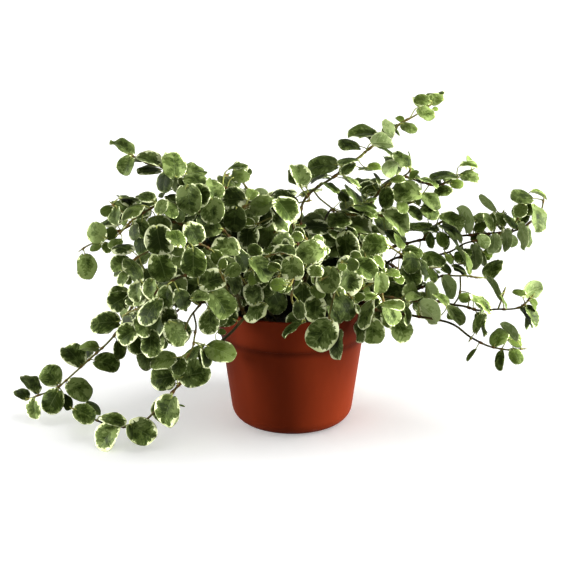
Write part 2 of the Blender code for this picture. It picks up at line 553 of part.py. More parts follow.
    def clear(self, leaf, table, stem):
        """The leaf's search tree if it clears everything placed so far, else None."""
        blade = leaf.rows(table, LEAF_SPARE)
        tree, verts = strip_tree(blade, leaf.side, LEAF_THICK + 2 * LEAF_SPARE)
        if min(v.z for v in verts) < 0.3:
            return None
        whole, more = strip_tree([(leaf.start.lerp(leaf.base, 0.45), leaf.up, 0.6 + LEAF_SPARE)] + blade,
                                 leaf.side, LEAF_THICK + 2 * LEAF_SPARE)
        if whole.overlap(self.pot):
            return None
        middle = leaf.spine(0.4)[0]
        for centre, reach, other, entry in self.trees:
            if (centre - middle).length < reach + leaf.long + 2:
                if (tree if entry is stem else whole).overlap(other):
                    return None
        return whole, middle

    def leafy(self, entry, rng, size=1.0):
        """Alternate leaves in two ranks along a stem, smaller toward the tip."""
        line = entry["line"]
        reach = [0.0]
        for a, b in zip(line, line[1:]):
            reach.append(reach[-1] + (b - a).length)
        total, at, places = reach[-1], entry["bare"], []
        while at < total - 3:
            places.append(at)
            at += LEAF_SPACING * rng.uniform(0.85, 1.15) * size
        places.append(total - 0.6)
        sign = rng.choice((-1, 1))
        for n, at in enumerate(places):
            if any(abs(at - u) < 6 for u in entry["used"]):
                continue
            k = max(i for i in range(len(reach)) if reach[i] <= at)
            k = min(k, len(line) - 2)
            p = line[k].lerp(line[k + 1], (at - reach[k]) / (reach[k + 1] - reach[k]))
            ahead = (line[min(k + 2, len(line) - 1)] - line[max(k - 1, 0)]).normalized()
            left = len(places) - 1 - n
            age = min(1.0, 0.48 + 0.15 * left)
            sign = -sign
            draws = [[rng.gauss(0, 1) for _ in range(6)] for _ in range(TRIES)]
            for k, d in enumerate(draws):
                spread = 0.35 + 0.09 * k
                light = entry["facing"] + Vector((p.x, p.y, 0)).normalized() * 0.45
                light = (light + Vector(d[0:3]) * 0.45 * spread).normalized()
                out = ahead.cross(light).normalized() * sign
                forward = 0.55 + 0.35 * d[3] * spread if left else 1.35
                along = (out * math.cos(forward) + ahead * math.sin(forward)).normalized()
                along = (along - Vector((0, 0, 0.22)) + out * 0.1 * d[5]).normalized()
                up = (light - along * light.dot(along)).normalized()
                long = LEAF_LONG * age * (1 + 0.07 * d[4]) * (1 - 0.018 * k)
                wide = long * (0.80 + 0.16 * age)
                stalk = (along + light * 0.35 + out * 0.3).normalized() * PETIOLE * (0.55 + 0.45 * age)
                if not left:
                    stalk = along * 2.6
                leaf = Leaf(p, p + stalk, along, up, long, wide, 0.35 + 0.25 * abs(d[5]))
                table = INNER_ROWS if age > 0.7 else YOUNG_ROWS
                if not self.hidden(leaf):
                    continue
                found = self.clear(leaf, LEAF_ROWS, entry)
                if found:
                    self.trees.append((found[1], long * 0.62 + PETIOLE + 1, found[0], None))
                    self.leaves.append((entry, leaf, table, age, left < 2 or n % entry["skip"] != 1))
                    break


def grow():
    plant = Plant()
    for name, root, points, bare, facing in STEMS:
        plant.stem(name, root, points, bare, facing)
    for k, (name, angle, root, crest, high, tip, low) in enumerate(BACK_STEMS):
        rng = random.Random(SEED * 7 + k)
        w = math.radians(angle)
        points = []
        for t in (0.3, 0.62, 1.0, 1.35, 1.7, 2.0):
            if t <= 1:
                r, z = root + (crest - root) * t, SOIL_TOP + (high - SOIL_TOP) * math.sin(t * math.pi / 2)
            else:
                r, z = crest + (tip - crest) * (t - 1) ** 0.8, high + (low - high) * (t - 1) ** 1.6
            turn = w + rng.uniform(-0.1, 0.1) * t
            points.append((r * math.cos(turn), r * math.sin(turn), max(z, 101) if r < 66 else z))
        facing = Vector(BACK) + Vector((math.cos(w), math.sin(w), 0)) * 0.5
        plant.stem(name, (root * math.cos(w), root * math.sin(w)), points, 32, facing)
    for name, start, points, facing in TWIGS:
        plant.twig(name, start, points, facing)
    spots = plant.spots()
    rows = sorted(SEEN_LEFT + SEEN_RIGHT, key=lambda row: max(0, row[5]))
    plant.missed = [row for k, row in enumerate(rows)
                    if not plant.seen_leaf(row, spots, random.Random(SEED * 100 + k))]
    for k, entry in enumerate(plant.lines):
        plant.leafy(entry, random.Random(SEED * 1000 + k))
    return plant


def clean_scene():
    for ob in list(bpy.data.objects):
        bpy.data.objects.remove(ob)


def material(name):
    colour, rough = COLOURS[name]
    mat = bpy.data.materials.new(name)
    mat.use_nodes = True
    shader = mat.node_tree.nodes["Principled BSDF"]
    shader.inputs["Base Color"].default_value = (*colour, 1)
    shader.inputs["Roughness"].default_value = rough
    return mat


def turned(name, profile, sides, into):
    """A solid turned about Z from a profile of (radius, height), top of the outside first."""
    mesh = bpy.data.meshes.new(name)
    mesh.from_pydata([(r * MM, 0, z * MM) for r, z in profile],
                     [(i, i + 1) for i in range(len(profile) - 1)], [])
    ob = bpy.data.objects.new(name, mesh)
    into.objects.link(ob)
    screw = ob.modifiers.new("turn", "SCREW")
    screw.steps = screw.render_steps = sides
    screw.use_merge_vertices = True
    screw.merge_threshold = 0.00001
    screw.use_smooth_shade = False
    apply_all(ob)
    return ob


def apply_all(ob):
    """Replace the object's mesh by what its modifiers make."""
    bpy.context.view_layer.update()
    graph = bpy.context.evaluated_depsgraph_get()
    made = bpy.data.meshes.new_from_object(ob.evaluated_get(graph))
    old = ob.data
    ob.modifiers.clear()
    ob.data = made
    bpy.data.meshes.remove(old)


def join_all(ob, group, kind="UNION", solver="EXACT"):
    """One Boolean with everything in a collection, whose objects are then removed."""
    mod = ob.modifiers.new("join", "BOOLEAN")
    mod.operation = kind
    mod.solver = solver
    mod.operand_type = "COLLECTION"
    mod.collection = group
    apply_all(ob)
    for other in list(group.objects):
        bpy.data.objects.remove(other)
    bpy.data.collections.remove(group)


def tube(name, line, thin, into):
    """A four-sided stem through the points, capped at both ends."""
    curve = bpy.data.curves.new(name, "CURVE")
    curve.dimensions = "3D"
    curve.bevel_depth = MM
    curve.bevel_resolution = 0
    curve.use_fill_caps = True
    spline = curve.splines.new("POLY")
    spline.points.add(len(line) - 1)
    for k, p in enumerate(line):
        spline.points[k].co = (*(p * MM), 1)
        fade = k / (len(line) - 1)
        spline.points[k].radius = thin + (STEM_TIP_RADIUS - thin) * fade
    rod = bpy.data.objects.new(name, curve)
    into.objects.link(rod)
    bpy.context.view_layer.update()
    graph = bpy.context.evaluated_depsgraph_get()
    mesh = bpy.data.meshes.new_from_object(rod.evaluated_get(graph))
    bpy.data.objects.remove(rod)
    bm = bmesh.new()
    bm.from_mesh(mesh)
    bmesh.ops.remove_doubles(bm, verts=bm.verts, dist=0.00001)
    bmesh.ops.recalc_face_normals(bm, faces=bm.faces)
    bm.to_mesh(mesh)
    bm.free()
    ob = bpy.data.objects.new(name, mesh)
    into.objects.link(ob)
    return ob


def blade(name, leaf, table, into):
    """A leaf with its petiole as a folded strip, thickened on both sides."""
    verts, faces = [], []
    for middle, up, half in [(leaf.start, None, 0.42)] + leaf.rows(table):
        verts += [(middle - leaf.side * half) * MM, (middle + leaf.side * half) * MM]
    for k in range(len(verts) // 2 - 1):
        faces.append((2 * k, 2 * k + 1, 2 * k + 3, 2 * k + 2))
    mesh = bpy.data.meshes.new(name)
    mesh.from_pydata(verts, [], faces)
    ob = bpy.data.objects.new(name, mesh)
    into.objects.link(ob)
    thick = ob.modifiers.new("thick", "SOLIDIFY")
    thick.thickness = LEAF_THICK * MM
    thick.offset = 0
    thick.use_even_offset = True
    return ob


def make_pot(scene, cutters):
    h, wall, corner = POT_HEIGHT, POT_WALL, POT_CORNER
    group = bpy.data.collections.new("pot")
    scene.children.link(group)
    low = h - BAND_HEIGHT
    profile = [(POT_MOUTH_RADIUS - 1.2, h), (POT_MOUTH_RADIUS, h - 1.2),
               (body_radius(low) + BAND_STEP, low), (body_radius(low), low)]
    middle = body_radius(corner) - corner
    for k in range(5):
        w = math.radians(6 + 84 * k / 4)
        profile.append((middle + corner * math.cos(w), corner - corner * math.sin(w)))
    profile[-1] = (middle, 0)
    profile += [(0, 0), (0, POT_FLOOR), (middle, POT_FLOOR)]
    inner = corner - wall
    for k in range(1, 4):
        w = math.radians(90 - 84 * k / 3)
        profile.append((middle + inner * math.cos(w), POT_FLOOR + inner - inner * math.sin(w)))
    profile += [(POT_MOUTH_RADIUS - BAND_STEP - wall, h), (POT_MOUTH_RADIUS - 1.2, h)]
    pot = turned("pot", profile, POT_SIDES, group)
    drills = bpy.data.collections.new("drain holes")
    cutters.children.link(drills)
    for k in range(DRAIN_COUNT):
        w = math.tau * (k + 0.5) / DRAIN_COUNT
        mesh = bpy.data.meshes.new("drill")
        bm = bmesh.new()
        place = Matrix.Translation((DRAIN_RING * MM * math.cos(w), DRAIN_RING * MM * math.sin(w), 0.001))
        bmesh.ops.create_cone(bm, cap_ends=True, segments=8, radius1=DRAIN_RADIUS * MM,
                              radius2=DRAIN_RADIUS * MM, depth=0.01, matrix=place)
        bm.to_mesh(mesh)
        bm.free()
        drill = bpy.data.objects.new("drill", mesh)
        drill.hide_render = True
        drill.display_type = "WIRE"
        drills.objects.link(drill)
    join_all(pot, drills, "DIFFERENCE")
    pot.data.materials.append(material("pot"))
    return pot


def make_soil(scene, cutters, plant):
    group = bpy.data.collections.new("soil")
    scene.children.link(group)
    wall, low = POT_WALL + GAP, POT_FLOOR + GAP
    profile = [(0, SOIL_TOP + 1.2), (26, SOIL_TOP + 0.9), (body_radius(SOIL_TOP) - wall - 0.6, SOIL_TOP - 1.2),
               (body_radius(18) - wall - 0.4, 18), (body_radius(18) - wall - 7, low + 2.4),
               (body_radius(18) - wall - 15, low + 0.1), (0, low + 0.1)]
    soil = turned("soil", profile, SOIL_SIDES, group)
    drills = bpy.data.collections.new("stem holes")
    cutters.children.link(drills)
    for entry in plant.lines:
        if entry["parent"] is not None:
            continue
        foot = entry["line"][0]
        top = SOIL_TOP + 6
        deep = foot.z - 0.4
        mesh = bpy.data.meshes.new("drill")
        bm = bmesh.new()
        place = Matrix.Translation((foot.x * MM, foot.y * MM, (top + deep) / 2 * MM))
        bmesh.ops.create_cone(bm, cap_ends=True, segments=5, radius1=HOLE_RADIUS * MM,
                              radius2=HOLE_RADIUS * MM, depth=(top - deep) * MM, matrix=place)
        bm.to_mesh(mesh)
        bm.free()
        drill = bpy.data.objects.new("drill", mesh)
        drill.hide_render = True
        drill.display_type = "WIRE"
        drills.objects.link(drill)
    join_all(soil, drills, "DIFFERENCE")
    soil.data.materials.append(material("soil"))
    return soil


def make_stems(scene, plant):
    leaf_material = material("leaf")
    for entry in plant.lines:
        if entry["parent"] is not None:
            continue
        name = entry["name"]
        group = bpy.data.collections.new(name)
        scene.children.link(group)
        stem = tube(name, entry["line"], STEM_ROOT_RADIUS, group)
        repeats = bpy.data.collections.new(name + " leaves")
        scene.children.link(repeats)
        for other in plant.lines:
            if other["parent"] is not None and other["name"] == name:
                tube("twig", other["line"], 1.15, repeats)
        for owner, leaf, table, age, kept in plant.leaves:
            if owner["name"] == name and kept:
                blade("leaf", leaf, table, repeats)
        join_all(stem, repeats)
        stem.data.materials.clear()
        stem.data.materials.append(leaf_material)


def main():
    clean_scene()
    random.seed(SEED)
    scene = bpy.context.scene.collection
    cutters = bpy.data.collections.new("cutters")
    scene.children.link(cutters)
    plant = grow()
    make_pot(scene, cutters)
    make_soil(scene, cutters, plant)
    make_stems(scene, plant)
    bpy.data.collections.remove(cutters)


main()
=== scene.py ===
import itertools
import json
import math
import random

import bmesh
import bpy
import numpy as np
from bpy.props import FloatProperty, FloatVectorProperty, IntProperty, PointerProperty
from mathutils import Matrix, Vector, noise
from mathutils.bvhtree import BVHTree

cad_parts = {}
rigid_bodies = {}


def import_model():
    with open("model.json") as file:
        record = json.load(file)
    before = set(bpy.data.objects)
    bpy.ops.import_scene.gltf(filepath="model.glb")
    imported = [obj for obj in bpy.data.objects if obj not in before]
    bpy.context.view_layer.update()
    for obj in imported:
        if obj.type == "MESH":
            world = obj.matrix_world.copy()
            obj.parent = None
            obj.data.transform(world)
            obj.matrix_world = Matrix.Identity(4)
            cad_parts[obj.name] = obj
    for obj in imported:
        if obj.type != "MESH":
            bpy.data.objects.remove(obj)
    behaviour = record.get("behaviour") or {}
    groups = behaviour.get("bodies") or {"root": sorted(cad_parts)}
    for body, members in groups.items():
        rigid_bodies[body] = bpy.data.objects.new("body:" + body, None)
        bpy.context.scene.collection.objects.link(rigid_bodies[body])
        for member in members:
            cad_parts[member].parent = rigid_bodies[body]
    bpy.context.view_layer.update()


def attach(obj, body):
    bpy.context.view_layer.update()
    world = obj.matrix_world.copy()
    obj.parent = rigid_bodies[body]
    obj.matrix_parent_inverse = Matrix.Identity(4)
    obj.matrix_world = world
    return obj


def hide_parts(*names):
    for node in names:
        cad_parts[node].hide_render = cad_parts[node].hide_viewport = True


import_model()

bl_info = {
    "name": "Creeping fig in a nursery pot",
    "version": (1, 0, 0),
    "blender": (4, 5, 0),
    "location": "3D View > Sidebar > Creeping fig",
    "description": "Builds a potted creeping fig with its stems, leaves, soil and pot, and a plain stage",
    "category": "Object",
}

MM = 0.001

# Sizes and growth rule shared with the packed solids
# The pot
POT_HEIGHT = 96.0
POT_MOUTH_RADIUS = 60.0
POT_FOOT_RADIUS = 46.3
POT_CORNER = 13.0
POT_WALL = 1.6
POT_FLOOR = 2.4
BAND_HEIGHT = 24.5
BAND_STEP = 1.0
DRAIN_RADIUS = 3.2
DRAIN_RING = 24.0
DRAIN_COUNT = 6

# The soil
SOIL_TOP = 85.0
GAP = 0.3
HOLE_DEPTH = 12.0

# The stems
STEM_ROOT_RADIUS = 1.5
STEM_STEP = 14.0
STEM_APART = 3.6

# The leaves
LEAF_THICK = 0.7
LEAF_LONG = 19.5
LEAF_SPACING = 11.5
PETIOLE = 5.0
LEAF_SPARE = 0.2
LEAF_LOWEST = 0.3
TRIES = 16
SEED = 41

# Rows across a leaf: how far along the blade, and half its width there
LEAF_ROWS = [(0.0, 0.08), (0.17, 0.78), (0.60, 1.02), (0.98, 0.36)]

# The photograph's eye, downward angle, focal length and centre
EYE = Vector((-4.8, -800.0, 327.0))
PITCH = math.radians(15.3)
FOCUS = 1069.0
CENTRE = 286.0
VIEW_AHEAD = Vector((0, math.cos(PITCH), -math.sin(PITCH)))
VIEW_UP = Vector((0, math.sin(PITCH), math.cos(PITCH)))

# Which way the leaves of a stem turn their upper sides
LEFT = (-0.25, -0.95, 0.55)
FRONT = (0.0, -1.0, 0.5)
RIGHT = (0.25, -0.75, 0.7)
HIGH = (-0.1, -0.55, 0.8)
BACK = (0.0, 0.6, 0.75)

# Stems seen in the photograph and the crown's: name, root, points, bare length, facing
STEMS = [
    ("runner_left", (-40, 0), [(-50, -5, 118), (-63, -10, 134), (-78, -12, 140), (-97, -10, 130),
     (-111, -5, 114), (-124, 0, 92), (-139, -4, 69), (-150, -6, 58), (-168, -10, 42),
     (-187, -13, 27), (-204, -15, 21), (-212, -15, 17)], 34, LEFT),
    ("runner_front", (-18, -38), [(-22, -43, 95), (-29, -51, 98.5), (-38, -55, 94), (-52, -58, 82),
     (-66, -60, 68), (-90, -66, 43), (-105, -66, 26), (-123, -60, 15), (-147, -48, 15),
     (-159, -40, 17), (-169, -34, 20)], 26, LEFT),
    ("shoot_top_left", (-13, 3), [(-26, 7, 118), (-48, 10, 142), (-71, 10, 162), (-87, 20, 186),
     (-98, 22, 195), (-110, 25, 199), (-120, 27, 201), (-126, 28, 206)], 40, LEFT),
    ("twig_left", (-28, 4), [(-40, 0, 112), (-55, -4, 132), (-70, -5, 146), (-89, -8, 160),
     (-107, -10, 161), (-126, -15, 157), (-144, -20, 149), (-162, -25, 140)], 38, LEFT),
    ("shoot_top_right", (6, 9), [(5, 5, 120), (6, 0, 150), (7, 5, 168), (12, 8, 178), (30, 12, 190),
     (44, 15, 200), (63, 18, 215), (80, 20, 229), (96, 22, 238), (107, 24, 246)], 42, HIGH),
    ("shoot_right_high", (20, 19), [(34, 20, 125), (50, 20, 155), (68, 20, 178), (80, 23, 187),
     (92, 25, 189), (107, 25, 182), (123, 28, 185), (135, 30, 190), (149, 32, 198)], 40, RIGHT),
    ("shoot_right_tip", (28, 9), [(42, 16, 112), (60, 20, 128), (79, 20, 134), (94, 20, 138),
     (104, 20, 140), (131, 15, 144), (163, 10, 148), (176, 8, 150), (183, 5, 158), (194, 2, 171),
     (191, 1, 176)], 36, RIGHT),
    ("shoot_right_mid", (29, -4), [(45, 0, 107), (58, 0, 119), (72, 0, 125), (84, 0, 131),
     (102, 0, 131), (118, 0, 134), (129, 0, 140), (144, 0, 144), (159, 0, 145)], 36, RIGHT),
    ("shoot_right_short", (42, 4), [(52, -4, 101), (66, -8, 104), (83, -10, 104), (100, -15, 111),
     (109, -18, 119), (120, -20, 121), (131, -20, 121), (141, -20, 120)], 28, RIGHT),
    ("shoot_right_low", (41, -8), [(48, -18, 101), (60, -26, 107), (84, -30, 105), (108, -35, 105),
     (125, -38, 103), (136, -40, 100), (153, -40, 101), (164, -40, 101), (170, -40, 103),
     (177, -40, 111)], 28, RIGHT),
    ("shoot_right_drop", (36, -20), [(42, -30, 97), (52, -38, 102), (68, -44, 100), (87, -47, 98),
     (110, -50, 95), (124, -52, 89), (135, -54, 80), (143, -55, 77), (153, -56, 75),
     (172, -56, 75)], 28, RIGHT),
    ("crown_a", (-11, -10), [(-25, -20, 118), (-39, -30, 144), (-63, -40, 172), (-88, -45, 181),
     (-109, -48, 174), (-125, -50, 160)], 38, LEFT),
    ("crown_b", (-23, -13), [(-32, -34, 112), (-42, -50, 134), (-66, -60, 155), (-90, -65, 156),
     (-111, -68, 146), (-124, -70, 128)], 36, LEFT),
    ("crown_c", (-35, -19), [(-38, -42, 102), (-43, -60, 122), (-62, -72, 136), (-82, -78, 134),
     (-100, -80, 120), (-111, -80, 98), (-117, -80, 83)], 30, LEFT),
    ("crown_d", (-13, -26), [(-22, -46, 103), (-34, -60, 114), (-51, -75, 122), (-66, -82, 117),
     (-76, -85, 99), (-87, -85, 85)], 32, FRONT),
    ("crown_e", (-14, 13), [(-20, 4, 118), (-26, -8, 147), (-39, -12, 178), (-58, -12, 189),
     (-76, -10, 193), (-93, -8, 202)], 40, LEFT),
    ("crown_f", (-3, 17), [(-3, 8, 116), (-6, 0, 137), (-21, 0, 168), (-34, 0, 184),
     (-43, 0, 197)], 38, HIGH),
    ("crown_g", (2, -13), [(5, -14, 112), (6, -15, 133), (-2, -20, 165), (-17, -22, 180),
     (-31, -25, 177), (-45, -28, 170)], 36, FRONT),
    ("crown_h", (0, -28), [(6, -38, 108), (9, -46, 125), (-2, -60, 147), (-17, -68, 149),
     (-30, -72, 140)], 32, FRONT),
    ("crown_i", (6, -41), [(13, -47, 108), (17, -52, 123), (12, -62, 143), (5, -72, 140),
     (-1, -79, 127), (1, -82, 112), (8, -82, 106)], 26, FRONT),
    ("crown_j", (19, -36), [(28, -44, 107), (32, -48, 121), (31, -62, 139), (30, -76, 126),
     (26, -81, 109), (26, -83, 98), (34, -82, 94)], 26, FRONT),
    ("crown_k", (29, -28), [(40, -42, 108), (47, -52, 124), (56, -66, 134), (62, -75, 126),
     (66, -78, 112), (64, -80, 98)], 28, FRONT),
    ("crown_l", (12, -2), [(18, 3, 118), (23, 5, 138), (33, 8, 155), (45, 10, 162), (64, 12, 162),
     (84, 14, 154)], 36, HIGH),
    ("crown_m", (17, -15), [(28, -12, 112), (40, -12, 131), (56, -14, 146), (74, -14, 142),
     (92, -14, 128)], 34, RIGHT),
]

# Back stems: name, angle from +X, root radius, crest radius and height, tip radius and height
BACK_STEMS = [
    ("back_a", 22, 37, 66, 124, 112, 84),
    ("back_b", 48, 41, 68, 120, 98, 62),
    ("back_c", 74, 41, 70, 118, 90, 46),
    ("back_d", 98, 41, 66, 126, 98, 70),
    ("back_e", 122, 41, 70, 120, 100, 56),
    ("back_f", 146, 41, 66, 128, 104, 74),
    ("back_g", 166, 38, 70, 132, 116, 96),
    ("back_h", 60, 27, 58, 158, 100, 122),
    ("back_i", 92, 28, 54, 166, 96, 132),
    ("back_j", 128, 27, 58, 170, 98, 140),
    ("back_k", 78, 14, 40, 166, 78, 158),
    ("back_l", 116, 18, 46, 170, 86, 160),
]

# Side twigs: the stem they leave, where they leave it, points
TWIGS = [
    ("shoot_top_right", (22, 9, 184), [(26, 6, 179), (32, 6, 173), (44, 6, 167), (54, 6, 165)], HIGH),
    ("shoot_right_high", (88, 23, 188), [(94, 20, 194), (92, 19, 201)], RIGHT),
    ("shoot_right_high", (70, 20, 179), [(78, 14, 172), (88, 8, 168)], RIGHT),
    ("shoot_right_tip", (104, 20, 140), [(112, 20, 150), (122, 20, 157)], RIGHT),
    ("shoot_right_tip", (175, 8, 150), [(178, 5, 160), (182, 3, 168), (184, 3, 176)], RIGHT),
    ("shoot_right_tip", (150, 12, 146), [(153, 10, 156), (156, 9, 163)], RIGHT),
    ("shoot_right_mid", (118, 0, 134), [(126, -6, 126), (136, -10, 124)], RIGHT),
    ("shoot_right_short", (124, -20, 121), [(125, -22, 112), (121, -24, 103), (117, -26, 97)], RIGHT),
    ("shoot_right_low", (150, -40, 101), [(153, -41, 112), (156, -42, 122)], RIGHT),
    ("shoot_right_drop", (136, -54, 80), [(132, -57, 75), (127, -58, 69)], RIGHT),
    ("runner_left", (-118, -2, 102), [(-106, -8, 90), (-98, -12, 78), (-96, -14, 66)], LEFT),
    ("crown_d", (-66, -82, 117), [(-64, -85, 104), (-67, -85, 92), (-71, -84, 84)], LEFT),
    ("crown_a", (-120, -49, 165), [(-130, -46, 168), (-138, -42, 174)], LEFT),
    ("crown_k", (52, -60, 130), [(50, -50, 140), (51, -42, 149)], FRONT),
]

